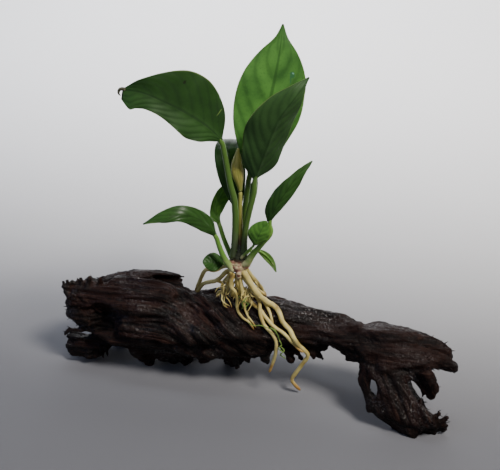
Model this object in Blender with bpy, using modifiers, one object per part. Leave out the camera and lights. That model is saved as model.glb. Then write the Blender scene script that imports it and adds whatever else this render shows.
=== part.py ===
"""Anubias growing on a piece of driftwood.

+X runs along the wood towards its forked end, +Z is up, and the floor is at Z = 0.
Lengths in the tables are millimetres and are turned to metres where the shapes are made.
The wood's and roots' tables are about a point of the floor near the middle of the wood. The
stalks' and leaves' tables are about the crown: x to the plant's right, y to its back, z up.
"""

import math

import bmesh
import bpy
import numpy as np
from mathutils import Matrix, Vector, noise
from mathutils.bvhtree import BVHTree

MM = 0.001
GAP = 0.35 * MM
WELD = 0.02 * MM
SHARP_ANGLE = math.radians(40.0)

# Further off than anything here, in millimetres.
FAR = 200.0

# Where the row's origin, the middle of the whole thing's base, lies in the tables.
MIDDLE = (2.1, 7.4, 0.0)

# The plant: where its crown sits over the wood, and how far it is turned about Z.
CROWN_PLACE = (-4.3, 6.0, 73.9)
PLANT_TURN = math.radians(12.0)

# The wood: how coarse its skin is, and where the trunk, arm and leg are parted.
WOOD_VOXEL = 1.5 * MM
WOOD_FACES = 4100
RING_POINTS = 36
SECTION_STEP = 3.0
FLUTE_DEPTH = 0.22
FLUTE_COUNT = 3.4
FLUTE_RUN = 0.022
FORK_X = 60.0
FORK_POINT = (72.0, 0.0, 31.5)
FORK_LEAN = (-0.15, 0.45, 0.88)

# The grain: where it spirals and how far, the axis that it turns about, and the way that it
# runs down the leg. Ridges are given as their length, their spacing and their height.
SPIRAL_START = -48.0
SPIRAL_END = 14.0
SPIRAL_TURN = math.radians(-120.0)
CORE_Y = 13.0
CORE_Z = 33.0
LEG_TOP = 31.0
LEG_RUN = (14, -14, -24)
RIDGES = [(60, 13, 2.6), (28, 7, 1.3)]
LEG_RELIEF = 0.6

# How much the noise changes a hollow's shape, and how fast over it.
HOLLOW_WOBBLE = 0.16
HOLLOW_PITCH = 2.1

# Each limb has a broad direction and sections: x, y, z of the middle, then half the breadth
# and half the thickness there.
LIMBS = {
    "trunk": ((0, 1, 0), [
        (-96, 14, 31, 9, 14),
        (-88, 14, 33, 14, 17),
        (-74, 14, 33, 17, 20),
        (-56, 14, 33, 18, 21),
        (-40, 14, 31, 18, 19),
        (-30, 14, 30, 18, 17),
        (-20, 14, 31, 18, 18),
        (-8, 14, 33, 17, 18),
        (6, 13, 34, 14, 15),
        (20, 12, 37, 12, 14),
        (36, 11, 36.5, 10, 12),
        (50, 8, 37, 9, 8.5),
        (61, 6, 37.5, 10, 8.5),
    ]),
    "knee": ((0, 1, 0), [
        (56, 7, 37, 9, 8),
        (66, 5, 37.5, 11, 9),
        (75, 3, 38, 12, 10),
        (85, 1, 36.5, 11, 10),
        (94, -1, 33.5, 9, 7.5),
        (101, -2, 32.5, 7, 6),
    ]),
    "leg": ((1, 0, 0.25), [
        (71, 3, 37, 12, 8),
        (73, -4, 30, 12, 7.5),
        (78, -10, 21, 12.5, 6.5),
        (84, -14, 13, 12.5, 6),
        (92, -17, 7, 12.5, 6),
        (97, -18, 4, 10, 5),
    ]),
    "flap": ((0.1, 0.15, 1), [
        (-80, 7, 34, 14, 5),
        (-90, 6, 36, 13, 4.5),
        (-97, 5, 37, 11.5, 4),
        (-101, 5, 37, 9, 3.5),
        (-103, 5, 37, 7, 2.5),
    ]),
    "low_lobe": ((0, 0.3, 1), [
        (-80, 12, 15, 7, 6),
        (-90, 12, 11, 9, 6),
        (-97, 11, 11.5, 8, 5.5),
        (-102, 10, 13, 6.5, 4),
    ]),
    "crest": ((0, 1, 0.2), [
        (-84, 18, 45, 6, 3),
        (-74, 20, 49, 8, 4),
        (-62, 21, 50, 8, 3.5),
        (-52, 22, 49, 7, 3),
        (-44, 23, 46.5, 5, 2.5),
    ]),
    "splinter": ((0, 1, 0), [
        (-66, 22, 53, 3, 1.6),
        (-55, 23, 52.5, 3.5, 1.6),
        (-46, 24, 51, 2.5, 1.4),
        (-39, 24, 49.5, 1.5, 1),
    ]),
    "shoulder": ((0, 1, 0), [
        (-30, 12, 36, 9, 8),
        (-20, 14, 41, 10, 8),
        (-9, 14, 41, 10, 8),
        (2, 8, 35, 9, 8),
        (12, 5, 29, 7, 6),
    ]),
    "knuckle": ((0, 1, 0), [
        (10, 15, 40, 7, 6),
        (20, 15, 42, 8, 7),
        (32, 13, 41, 7, 6),
        (44, 11, 38, 5, 5),
    ]),
    "brow": ((0, 1, 0), [
        (62, 8, 41, 6, 4),
        (74, 7, 42.5, 8, 4),
        (86, 4, 40.5, 8, 4),
        (96, 1, 36, 6, 3.5),
        (103, 0, 33, 4, 3.5),
    ]),
}

# Stubs, feet and broken ends: start, end, and the radius at each.
SNAGS = [
    ((-98, 5, 42), (-103, 6, 50), 2.8, 1.2),
    ((-102, 6, 47), (-106, 6, 50), 1.4, 0.8),
    ((-95, 6, 42), (-99, 6, 51), 2.6, 0.9),
    ((-91, 7, 43), (-94, 8, 53), 2.8, 0.9),
    ((-86, 9, 46), (-89, 11, 55), 3.0, 1.0),
    ((-80, 13, 48), (-84, 15, 55), 3.0, 1.0),
    ((-98, 4, 31), (-103, 4, 27), 3.6, 2.0),
    ((-96, 8, 16), (-104, 8, 21), 3.4, 1.2),
    ((-96, 9, 10), (-105, 9, 8), 4.2, 1.8),
    ((-92, 13, 9), (-93, 13, -2), 7.0, 3.4),
    ((-84, 11, 12), (-84, 10, 5), 2.2, 0.9),
    ((-74, 23, 18), (-81, 28, -2), 11.0, 3.6),
    ((-86, 24, 20), (-89, 27, 9), 8.0, 3.0),
    ((-68, 12, 18), (-68, 11, 11), 6.0, 3.0),
    ((-61, 12, 16), (-59, 10, -2), 8.0, 3.4),
    ((-47, 14, 14), (-46, 15, -2), 9.0, 5.0),
    ((-36, 14, 14), (-37, 14, 1), 7.0, 3.0),
    ((-14, 17, 16), (-12, 18, -2), 8.0, 3.4),
    ((-24, 14, 16), (-24, 12, 8), 6.0, 3.0),
    ((-2, 12, 20), (0, 9, 13), 6.0, 3.0),
    ((-38, 27, 18), (-33, 31, -2), 11.0, 3.0),
    ((-56, 26, 18), (-52, 30, 8), 9.0, 3.0),
    ((8, 10, 26), (11, 5, 18), 5.0, 2.0),
    ((20, 8, 31), (25, 3, 19), 5.0, 1.8),
    ((28, 8, 31), (37, 3, 23), 4.6, 1.6),
    ((33, 8, 32), (44, 4, 28), 4.6, 1.8),
    ((56, 5, 33), (60, 0, 31), 4.5, 3.0),
    ((61, 0, 34), (63, -10, 23), 3.6, 3.0),
    ((63, -9, 24), (71, -14, 11), 3.2, 4.0),
    ((97, 0, 36), (105, 0, 40), 3.4, 1.6),
    ((98, -1, 33), (106, -3, 36), 4.2, 2.4),
    ((102, -2, 35), (110, -4, 32), 3.6, 1.2),
    ((82, -4, 30), (92, -11, 28), 5.0, 3.2),
    ((91, -11, 28), (99, -13, 22), 3.2, 2.8),
    ((98, -13, 24), (98, -13, 17), 3.0, 1.8),
    ((98, -16, 7), (109, -16, 8), 4.0, 1.0),
    ((96, -17, 4), (107, -14, 3), 4.6, 1.8),
    ((90, -17, 4), (91, -18, -2), 5.0, 4.0),
    ((98, -17, 3), (100, -16, -2), 5.0, 4.0),
]

# Hollows: middle, half sizes, and the turn about X, Y and Z in degrees.
HOLLOWS = {
    "cavity": ((-79, -6, 34), (13, 12, 12), (0, -20, 0)),
    "end_hollow": ((-101, 18, 35), (13, 6, 10), (0, 0, 12)),
    "notch": ((-101, 5, 23.5), (9, 16, 2.6), (0, 14, 0)),
    "left_arch": ((-70, 4, 3), (9, 14, 9), (0, 0, 0)),
    "split": ((-36, -5, 18), (20, 5, 2.2), (0, 6, 0)),
    "leg_hole": ((70, -10, 21), (2.9, 24, 5.8), (-27, -12, -12)),
    "spur_gap": ((90, -12, 22.5), (2.8, 24, 6.4), (-27, -36, -12)),
    "jaw": ((105, -12, 31), (12, 26, 5), (-27, 8, -6)),
}

# Finishes: linear colour and roughness.
FINISHES = {
    "wet_driftwood": ((0.018, 0.011, 0.010), 0.35),
    "leaf_green": ((0.055, 0.125, 0.028), 0.35),
    "dark_leaf": ((0.020, 0.036, 0.014), 0.35),
    "stalk_green": ((0.045, 0.070, 0.018), 0.4),
    "root_cream": ((0.38, 0.33, 0.18), 0.5),
    "crown_pink": ((0.20, 0.12, 0.07), 0.5),
    "bud_tan": ((0.16, 0.13, 0.045), 0.5),
}

# Leaf blades: how long a row of faces is, and how wide a half must be to have two columns.
ROW_LENGTH = 6.5
WIDE_HALF = 5.0
BASE_WIDTH = 0.8
TIP_WIDTH = 0.3
BLADE_THICKNESS = 0.6

# Each blade: its midrib from the stalk to the tip, the directions its left and right halves
# spread in, their widths, the fullness and bluntness of each half, and its finish.
BLADES = {
    "leaf_tall": (
        [(5.8, 2.2, 48), (10.6, 4, 65.5), (16, 8, 86.5), (19.6, 12, 104.5), (21.3, 14, 118)],
        ((-1, -0.12, 0.2), (1, -0.12, -0.2)), (17.3, 18.0), ((0.96, 0.9), (1.0, 0.95)),
        "leaf_green",
    ),
    "leaf_front": (
        [(8.3, -4.6, 49), (12.4, -9, 63), (18.6, -13, 80.9), (26.6, -13, 92.7), (33.4, -9, 100.3)],
        ((-1, -0.1, 0.35), (0.65, 0.6, -0.45)), (14.5, 13), ((0.85, 0.8), (0.8, 0.75)),
        "dark_leaf",
    ),
    "leaf_broad": (
        [(-7.4, -3.4, 68.2), (-14.2, -6, 76.1), (-23.8, -10, 84.2), (-34.1, -13, 90.4),
         (-43.4, -12, 93.3), (-52.3, -9, 93.7)],
        ((-0.05, -0.5, -0.85), (0.1, 0.05, 1)), (9.5, 17.6), ((0.75, 0.65), (0.88, 0.85)),
        "dark_leaf",
    ),
    "leaf_back": (
        [(0.5, 6.2, 26.6), (-2.3, 9, 42.6), (-4.2, 13, 55.9), (-4.4, 22, 58.8), (-3.2, 34, 54.3)],
        ((-1, 0, 0), (1, 0.1, 0)), (7.5, 7), ((0.95, 0.8), (0.95, 0.8)), "dark_leaf",
    ),
    "leaf_small_upright": (
        [(-9.5, 5.6, 20.4), (-11.2, 8, 26), (-8.8, 11, 33), (-3, 15, 38)],
        ((-0.8, -0.3, 0.5), (0.8, 0.1, -0.5)), (4.2, 5), ((0.95, 0.8), (0.95, 0.8)),
        "leaf_green",
    ),
    "leaf_left_lance": (
        [(-11, -3.8, 18.6), (-15, -7, 27.3), (-20.7, -11, 34.2), (-27.1, -14, 37),
         (-35.1, -16, 35), (-44.8, -16, 30.6)],
        ((-0.3, -0.6, -0.6), (0.4, 0.5, 0.8)), (5.2, 4.6), ((0.85, 0.9), (0.9, 1.1)),
        "leaf_green",
    ),
    "leaf_right_lance": (
        [(15.2, -6.5, 27.4), (19.1, -8, 36.9), (24.2, -8, 45.3), (29.8, -6, 53.2),
         (35.6, -3, 57.6)],
        ((-0.75, 0.1, 0.65), (0.75, -0.3, -0.6)), (5.6, 5.6), ((0.75, 1.1), (0.85, 1.1)),
        "leaf_green",
    ),
    "leaf_oval": (
        [(8.5, -9.4, 16.2), (10.5, -11, 22.7), (13.9, -10, 29.4)],
        ((-0.9, 0, 0.3), (0.9, -0.1, -0.3)), (5.5, 5), ((0.95, 0.7), (0.95, 0.7)), "leaf_green",
    ),
    "leaf_drooping": (
        [(10, 6.3, 4.6), (13.9, 8, 0.9), (17.6, 8, -3.8), (19.6, 6, -8.1)],
        ((-0.5, -0.4, -0.5), (0.5, 0.3, 0.6)), (2, 2), ((0.9, 0.8), (0.9, 0.8)), "leaf_green",
    ),
    "leaf_round": (
        [(-7.9, 1.9, -0.6), (-12.2, 0, 1), (-18, -1, 1.7)],
        ((0, -0.6, -0.8), (0, 0.4, 0.9)), (4.6, 5), ((1.0, 0.6), (1.0, 0.6)), "leaf_green",
    ),
    "leaf_inner": (
        [(5.4, 5.4, 27), (6.6, 7.4, 34.8), (9.6, 9.6, 45)],
        ((-1, 0, 0.2), (1, 0, -0.2)), (2.4, 2.6), ((0.9, 0.9), (0.9, 0.9)), "dark_leaf",
    ),
}

# Stalks, from the crown to the blade, with the radii along them.
STALKS = {
    "stalk_broad": (
        [(-1.2, -1, 5), (-0.9, -2, 20), (-1.4, -3, 36), (-3.3, -3.6, 45), (-5.4, -3.6, 58),
         (-7.1, -3.3, 67.7)],
        (1.7, 1.7, 1.7, 1.6, 1.4, 1.3),
    ),
    "stalk_tall": (
        [(1.6, 2.6, 5), (2.5, 2.4, 20), (3.8, 2.4, 32), (5, 2.2, 42), (5.7, 2.2, 47.5)],
        (1.5, 1.5, 1.4, 1.3),
    ),
    "stalk_front": (
        [(2.6, -2, 5), (3.2, -3, 15), (4.4, -4, 25), (6.2, -4.8, 34), (8, -5, 42),
         (8.2, -4.7, 48.4)],
        (1.6, 1.5, 1.5, 1.4, 1.3),
    ),
    "stalk_back": ([(-1.6, 3.5, 4), (-0.8, 5, 16.9), (0.4, 6, 26)], (1.2, 1.1, 1.0)),
    "stalk_inner": ([(1.4, 5, 4), (3.8, 6, 15.7), (5.3, 5.3, 26.4)], (1.0, 0.9, 0.8)),
    "stalk_left_lance": (
        [(-2.4, -1.8, -2.5), (-6.4, -2.8, 4), (-9, -3.4, 11), (-10.8, -3.6, 18)],
        (1.8, 1.5, 1.3, 1.2),
    ),
    "stalk_small_upright": (
        [(-2.4, 1.6, 0.6), (-5.2, 2.8, 7.5), (-7.6, 4, 14), (-9.3, 5.3, 19.8)], (1.4, 1.2, 1.1),
    ),
    "stalk_right_lance": (
        [(3, -1.8, 0.8), (6.6, -4, 6.8), (12, -7, 15.2), (15.9, -8, 20.7), (16.4, -7.4, 23.7),
         (15.2, -6.4, 26.8)],
        (2.1, 1.8, 1.4, 1.2, 1.1, 1.0),
    ),
    "stalk_oval": ([(2.1, -3, 5.6), (4.6, -6.4, 10.6), (8.2, -9.2, 15.6)], (0.8, 0.6, 0.6)),
    "stalk_drooping": ([(2, 3, 0.8), (5.6, 5.4, 4.4), (9.5, 6.2, 5)], (0.8, 0.6, 0.6)),
    "stalk_round": ([(-2.6, 1.4, -1.7), (-5.4, 2, -1.4), (-7.4, 2, -0.7)], (0.9, 0.8, 0.7)),
    "stalk_flower": ([(0.8, -1, 5), (1, -1.2, 22.7), (1.4, -1, 41.4)], (1.7, 1.5, 1.1, 1.0)),
}

# Roots, from the crown down over the wood, with the radii along them.
ROOTS = {
    "root_long": (
        [(-3, 5, 68.5), (0.5, 4.2, 64), (4, 4, 60), (9, 5, 54), (14, 6, 50), (18, 3, 47),
         (21, 0, 43), (25, -1, 37), (29, 0, 31), (33, 1, 26), (31, 2, 19), (28, 2, 13),
         (26, 3, 6.5), (27.5, 3.4, 3), (30, 3.8, 1.2)],
        (1.8, 1.7, 1.6, 1.5, 1.3, 1.2, 1.0),
    ),
    "root_second": (
        [(-4, 5, 71), (-3, 4, 62), (1, 8, 53), (6, 6, 47), (12, 1, 44), (16, -1, 41),
         (22, -1, 37.5), (26, -2, 32), (30, -2, 28)],
        (1.4, 1.3, 1.3, 1.1, 1.0),
    ),
    "root_hanging": (
        [(-4.5, 3.5, 70), (-3.5, 3, 60), (2, 8, 51), (7, 5, 47), (11, 0, 42), (15, -1.5, 38),
         (18, -2, 34), (17.5, -1.5, 25), (15, -1, 19.6), (13, -0.5, 11.3)],
        (1.3, 1.2, 1.2, 1.1, 1.0, 0.8),
    ),
    "root_slant": (
        [(-2, 7, 69), (2, 7, 61), (8, 9, 52), (12.5, 6, 48), (15, 1.5, 44), (16.5, -1.5, 40)],
        (1.3, 1.2, 1.1, 0.8),
    ),
    "root_short_left": (
        [(-7, 6, 69), (-8.5, 6, 62), (-10, 10, 54), (-9, 10, 51)], (1.2, 1.1, 0.9),
    ),
    "root_front": (
        [(-6, 4, 68), (-6, 3, 58), (-6, 5, 51), (-5, 3, 47), (-1, 1, 44), (4, -1, 41),
         (6.5, -2.5, 38)],
        (1.2, 1.1, 1.0, 0.7),
    ),
    "root_thin": (
        [(-5, 10, 52), (-1, 6, 48), (2, 2, 44.5), (6, -1, 40), (9, -2, 36)], (0.7, 0.7, 0.5),
    ),
    "root_left_low": (
        [(-7, 5, 69), (-15, 7, 63.5), (-20, 9, 60), (-25, 12, 56), (-30, 16, 50), (-32, 18, 48)],
        (1.4, 1.3, 1.2, 1.0),
    ),
    "root_left_high": (
        [(-8, 9, 70.5), (-13, 9, 69), (-18, 9, 68), (-22, 10, 65), (-25, 12, 60),
         (-28, 15, 53), (-29, 19, 49)],
        (1.2, 1.2, 1.1, 0.9),
    ),
    "root_left_branch": (
        [(-14, 8, 63), (-12.8, 9, 60), (-12.5, 13, 54), (-14, 17, 51)], (0.9, 0.8, 0.7),
    ),
    "root_curled": (
        [(-6.5, 5, 66), (-9, 6, 58), (-13, 9, 54), (-16, 13, 52), (-18, 14, 50)],
        (0.9, 0.9, 0.7),
    ),
    "root_middle": (
        [(-4, 6.5, 69), (-4, 6, 61), (-3, 10, 54), (-2, 12, 50)], (1.2, 1.1, 0.8),
    ),
    "root_right": (
        [(-1.5, 7.5, 70), (0.5, 9, 62), (4, 13, 56), (8, 16, 51)], (1.3, 1.2, 0.9),
    ),
    "root_back_right": (
        [(-4, 14, 70), (-1, 18, 62), (2, 22, 55), (4, 26, 49), (6, 29, 42)], (1.4, 1.3, 1.0),
    ),
    "root_back_left": (
        [(-7, 15, 70), (-11, 19, 61), (-15, 23, 54), (-18, 28, 48), (-20, 32, 40)],
        (1.3, 1.2, 1.0),
    ),
    "root_back": ([(-5.5, 17, 69), (-6, 20, 60), (-7, 24, 53)], (1.2, 1.0, 0.8)),
}

# Strands are eased apart in steps this long, this many times, to stay this far apart. Until the
# last turns each point is also drawn towards its neighbours, by this share of the way.
EASE_STEP = 1.5
EASE_TURNS = 70
LAST_TURNS = 12
EASE_DRAW = 0.25
STRAND_GAP = 0.7
WOOD_GAP = 0.5
FLOOR_GAP = 0.1

# A line is read this finely, and a tube keeps every third of its points.
READ_STEP = 0.5
KEPT_POINTS = 3
LEAST_STEP = 0.6

# The crown's lumps: middle and half sizes. The last two are the sheath of the old stalks.
CROWN_LUMPS = [
    ((0, 0, -0.5), (4.6, 4.2, 4.0)),
    ((0.6, 4.5, -1.7), (3.5, 4.6, 3.2)),
    ((1.4, 8.6, -3.2), (2.9, 3.6, 2.8)),
    ((-3.2, -1, 0), (2.5, 2.4, 3.2)),
    ((3.4, -1.5, 1), (3.0, 2.4, 3.0)),
    ((1.3, -0.2, 5), (3.7, 3.4, 5.0)),
    ((1.4, -0.2, 9), (3.2, 2.8, 5.0)),
]
CROWN_VOXEL = 0.8 * MM
CROWN_FACES = 320

# The closed flower: its line, and its radii from the stalk to the tip.
BUD_LINE = [(1.3, -1, 42.2), (-0.1, -1, 53.2), (0.4, 1, 62.5)]
BUD_RADII = (1.1, 2.0, 2.8, 3.0, 2.7, 1.9, 1.0, 0.4)


def smooth_rows(rows, step):
    """Rows of numbers joined by a Catmull-Rom curve, at about step apart by their first three."""
    rows = [Vector(row) for row in rows]
    found = [rows[0]]
    for i in range(len(rows) - 1):
        a, b = rows[i], rows[i + 1]
        before = rows[i - 1] if i else 2 * a - b
        after = rows[i + 2] if i + 2 < len(rows) else 2 * b - a
        span = (b.to_3d() - a.to_3d()).length
        count = max(1, round(span / step))
        for k in range(1, count + 1):
            t = k / count
            found.append(0.5 * (
                2 * a + (b - before) * t + (2 * before - 5 * a + 4 * b - after) * t ** 2
                + (3 * a - before - 3 * b + after) * t ** 3
            ))
    return found


def ridged(where):
    """Noise with crests: 0.45 along them, and about -0.5 in the furrows between."""
    return 0.45 - 2 * abs(noise.noise(where))


def tangents(points):
    """The direction of a chain of points at each of them."""
    last = len(points) - 1
    return [
        (points[min(i + 1, last)] - points[max(i - 1, 0)]).normalized()
        for i in range(len(points))
    ]


def loft(name, points, sides, shape):
    """A closed tube through points: shape(i, angle) gives each ring's own points about them."""
    bm = bmesh.new()
    angle = bm.verts.layers.float.new("angle")
    ring = bmesh.ops.create_circle(bm, segments=sides, radius=1.0)["verts"]
    for v in ring:
        v[angle] = math.atan2(v.co.y, v.co.x)
    edges = list(bm.edges)
    for i, point in enumerate(points):
        if i:
            grown = bmesh.ops.extrude_edge_only(bm, edges=edges)["geom"]
            ring = [g for g in grown if isinstance(g, bmesh.types.BMVert)]
            edges = [g for g in grown if isinstance(g, bmesh.types.BMEdge) and g.is_boundary]
        for v in ring:
            v.co = point + shape(i, v[angle])
    open_edges = [e for e in bm.edges if e.is_boundary]
    bmesh.ops.holes_fill(bm, edges=open_edges, sides=0)
    bmesh.ops.recalc_face_normals(bm, faces=bm.faces)
    mesh = bpy.data.meshes.new(name)
    bm.to_mesh(mesh)
    bm.free()
    return mesh


def limb_mesh(name, broad, sections):
    """A fluted limb of wood: its ridges run along it, and it tapers as its sections say."""
    rows = [[value * MM for value in row] for row in sections]
    stations = smooth_rows(rows, SECTION_STEP * MM)
    middles = [s.to_3d() for s in stations]
    along = tangents(middles)
    seed = sum(map(ord, name))

    def shape(i, angle):
        side = (Vector(broad) - along[i] * along[i].dot(Vector(broad))).normalized()
        up = along[i].cross(side)
        where = Vector((math.cos(angle), math.sin(angle), 0)) * FLUTE_COUNT
        where.z = i * SECTION_STEP * FLUTE_RUN + seed
        swell = 1 + FLUTE_DEPTH * ridged(where)
        breadth, thickness = stations[i][3], stations[i][4]
        return swell * (side * math.cos(angle) * breadth + up * math.sin(angle) * thickness)

    return loft(name, middles, RING_POINTS, shape)


def snag_mesh(name, start, end, wide, narrow):
    """A tapered stub of wood."""
    start, end = Vector(start) * MM, Vector(end) * MM
    axis = end - start
    bm = bmesh.new()
    turn = axis.to_track_quat("Z", "Y").to_matrix().to_4x4()
    bmesh.ops.create_cone(
        bm, cap_ends=True, segments=8, radius1=wide * MM, radius2=narrow * MM, depth=axis.length,
        matrix=Matrix.Translation((start + end) / 2) @ turn,
    )
    mesh = bpy.data.meshes.new(name)
    bm.to_mesh(mesh)
    bm.free()
    return mesh


def joined(name, meshes):
    """One object from several meshes laid in the same frame."""
    bm = bmesh.new()
    for mesh in meshes:
        bm.from_mesh(mesh)
        bpy.data.meshes.remove(mesh)
    mesh = bpy.data.meshes.new(name)
    bm.to_mesh(mesh)
    bm.free()
    return bpy.data.objects.new(name, mesh)


def baked(obj, collection):
    """The object with its modifiers made part of its mesh."""
    if obj.name not in collection.objects:
        collection.objects.link(obj)
    bpy.context.view_layer.update()
    graph = bpy.context.evaluated_depsgraph_get()
    mesh = bpy.data.meshes.new_from_object(obj.evaluated_get(graph))
    obj.modifiers.clear()
    old, obj.data = obj.data, mesh
    bpy.data.meshes.remove(old)
    mesh.name = obj.name
    return obj


def hollow(name, middle, half_sizes, turn, cutters):
    """A rough egg that cuts a pit or a hole."""
    bm = bmesh.new()
    bmesh.ops.create_icosphere(bm, subdivisions=2, radius=1.0)
    for v in bm.verts:
        v.co *= 1 + HOLLOW_WOBBLE * noise.noise(v.co * HOLLOW_PITCH + Vector(middle))
    mesh = bpy.data.meshes.new(name)
    bm.to_mesh(mesh)
    bm.free()
    obj = bpy.data.objects.new(name, mesh)
    size = Matrix.Diagonal((*(s * MM for s in half_sizes), 1))
    spin = Matrix.Rotation(math.radians(turn[2]), 4, "Z")
    spin @= Matrix.Rotation(math.radians(turn[0]), 4, "X")
    spin @= Matrix.Rotation(math.radians(turn[1]), 4, "Y")
    mesh.transform(Matrix.Translation(Vector(middle) * MM) @ spin @ size)
    return helper(obj, cutters)


def helper(obj, cutters):
    """Keeps a cutter out of the model."""
    obj.hide_render = True
    obj.display_type = "WIRE"
    cutters.objects.link(obj)
    return obj


def cut(obj, cutter, operation="DIFFERENCE"):
    """A Boolean of obj by cutter."""
    modifier = obj.modifiers.new(cutter.name, "BOOLEAN")
    modifier.operation = operation
    modifier.solver = "EXACT"
    modifier.object = cutter


def slab(name, low, high, cutters, place=Matrix.Identity(4)):
    """A block between two corners, in millimetres, moved by place."""
    low, high = Vector(low) * MM, Vector(high) * MM
    bm = bmesh.new()
    size = Matrix.Diagonal((*(high - low), 1))
    bmesh.ops.create_cube(bm, size=1.0, matrix=place @ Matrix.Translation((low + high) / 2) @ size)
    mesh = bpy.data.meshes.new(name)
    bm.to_mesh(mesh)
    bm.free()
    return helper(bpy.data.objects.new(name, mesh), cutters)


def reskinned(obj, voxel, model, faces=None):
    """One skin over everything in a mesh, then thinned to about so many faces."""
    skin = obj.modifiers.new("skin", "REMESH")
    skin.mode = "VOXEL"
    skin.voxel_size = voxel
    baked(obj, model)
    if faces:
        thin = obj.modifiers.new("thin", "DECIMATE")
        thin.ratio = faces / (2 * len(obj.data.polygons))
        baked(obj, model)


def grain_place(point):
    """Where a point lies in the grain: along it, then across it with its spiral undone."""
    x, y, z = point / MM
    if x > FORK_X and z < LEG_TOP:
        down = Vector(LEG_RUN).normalized()
        side = down.cross(Vector((0, 1, 0))).normalized()
        offset = Vector((x, y, z))
        return Vector((offset.dot(down), offset.dot(side), offset.dot(down.cross(side))))
    share = min(max((x - SPIRAL_START) / (SPIRAL_END - SPIRAL_START), 0.0), 1.0)
    turn = SPIRAL_TURN * share * share * (3 - 2 * share)
    y, z = y - CORE_Y, z - CORE_Z
    across = (y * math.cos(turn) - z * math.sin(turn), y * math.sin(turn) + z * math.cos(turn))
    return Vector((x, *across))


def roughened(wood):
    """Raises ridges that follow the grain and sinks pits between them."""
    for v in wood.data.vertices:
        place = grain_place(v.co)
        strength = LEG_RELIEF if v.co.x > FORK_X * MM else 1.0
        for along, across, relief in RIDGES:
            where = Vector((place.x / along, place.y / across, place.z / across))
            v.co += v.normal * strength * relief * ridged(where) * MM


def whole_wood(model, cutters):
    """The driftwood as one skin, hollowed, and worn flat where it stands."""
    meshes = [limb_mesh(name, broad, rows) for name, (broad, rows) in LIMBS.items()]
    meshes += [snag_mesh("snag", *snag) for snag in SNAGS]
    wood = joined("driftwood", meshes)
    reskinned(wood, WOOD_VOXEL, model)
    for name, (middle, half_sizes, turn) in HOLLOWS.items():
        cut(wood, hollow(name, middle, half_sizes, turn, cutters))
    baked(wood, model)
    roughened(wood)
    reskinned(wood, WOOD_VOXEL, model, WOOD_FACES)
    cut(wood, slab("ground", (-FAR, -FAR, -FAR), (FAR, FAR, 0), cutters))
    return baked(wood, model)


def forked(wood, model, cutters):
    """The wood parted at its fork into the trunk, the upper fork and the leg."""
    half = GAP / MM / 2
    lean = Vector(FORK_LEAN).to_track_quat("Z", "Y").to_matrix().to_4x4()
    fork = Matrix.Translation(Vector(FORK_POINT) * MM) @ lean
    blocks = {
        "past_fork": slab("past_fork", (FORK_X - half, -FAR, -FAR), (FAR, FAR, FAR), cutters),
        "before_fork": slab("before_fork", (-FAR, -FAR, -FAR), (FORK_X + half, FAR, FAR), cutters),
        "above_fork": slab("above_fork", (-FAR, -FAR, -half), (FAR, FAR, FAR), cutters, fork),
        "below_fork": slab("below_fork", (-FAR, -FAR, -FAR), (FAR, FAR, half), cutters, fork),
    }
    kept = {
        "driftwood_trunk": ("past_fork",),
        "driftwood_upper_fork": ("before_fork", "below_fork"),
        "driftwood_leg": ("before_fork", "above_fork"),
    }
    for name, taken in kept.items():
        branch = bpy.data.objects.new(name, wood.data.copy())
        model.objects.link(branch)
        for block in taken:
            cut(branch, blocks[block])
        finished(branch, "wet_driftwood")
    tree = BVHTree.FromObject(wood, bpy.context.evaluated_depsgraph_get())
    bpy.data.objects.remove(wood)
    return tree


def spaced(points, count):
    """A smooth line through points, read at count + 1 places evenly along it."""
    line = smooth_rows(points, READ_STEP)
    run = [0.0]
    for a, b in zip(line, line[1:]):
        run.append(run[-1] + (b - a).length)
    found = []
    k = 0
    for i in range(count + 1):
        goal = run[-1] * i / count
        while k < len(run) - 2 and run[k + 1] < goal:
            k += 1
        share = (goal - run[k]) / max(run[k + 1] - run[k], 1e-6)
        found.append(line[k].lerp(line[k + 1], min(share, 1.0)))
    return found


def along_value(values, share):
    """A value read off a short list of values spread evenly along a piece."""
    place = share * (len(values) - 1)
    i = min(int(place), len(values) - 2)
    return values[i] + (values[i + 1] - values[i]) * (place - i)


def blade(name, rib, sides, widths, shapes, parent, model):
    """A leaf's blade: two halves spread from a midrib, each towards its own side."""
    length = sum((Vector(b) - Vector(a)).length for a, b in zip(rib, rib[1:]))
    rows = max(6, round(length / ROW_LENGTH))
    columns = 4 if max(widths) > WIDE_HALF else 2
    middle = spaced([Vector(point) for point in rib], rows)
    along = tangents(middle)
    bm = bmesh.new()
    bmesh.ops.create_grid(bm, x_segments=columns, y_segments=rows, size=1.0)
    for v in bm.verts:
        share = (v.co.y + 1) / 2
        i = round(share * rows)
        half = 0 if v.co.x < 0 else 1
        out = Vector(sides[half])
        out = (out - along[i] * out.dot(along[i])).normalized()
        fullness, blunt = shapes[half]
        bulge = max(math.sin(math.pi * min(share, 1.0) ** fullness), 0.0) ** blunt
        width = max(widths[half] * bulge, BASE_WIDTH * (1 - share) + TIP_WIDTH * share)
        v.co = (middle[i] + out * abs(v.co.x) * width) * MM
    bmesh.ops.recalc_face_normals(bm, faces=bm.faces)
    mesh = bpy.data.meshes.new(name)
    bm.to_mesh(mesh)
    bm.free()
    leaf = bpy.data.objects.new(name, mesh)
    model.objects.link(leaf)
    wall = leaf.modifiers.new("thickness", "SOLIDIFY")
    wall.thickness = BLADE_THICKNESS * MM
    wall.offset = 0.0
    leaf.parent = parent
    return leaf


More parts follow.
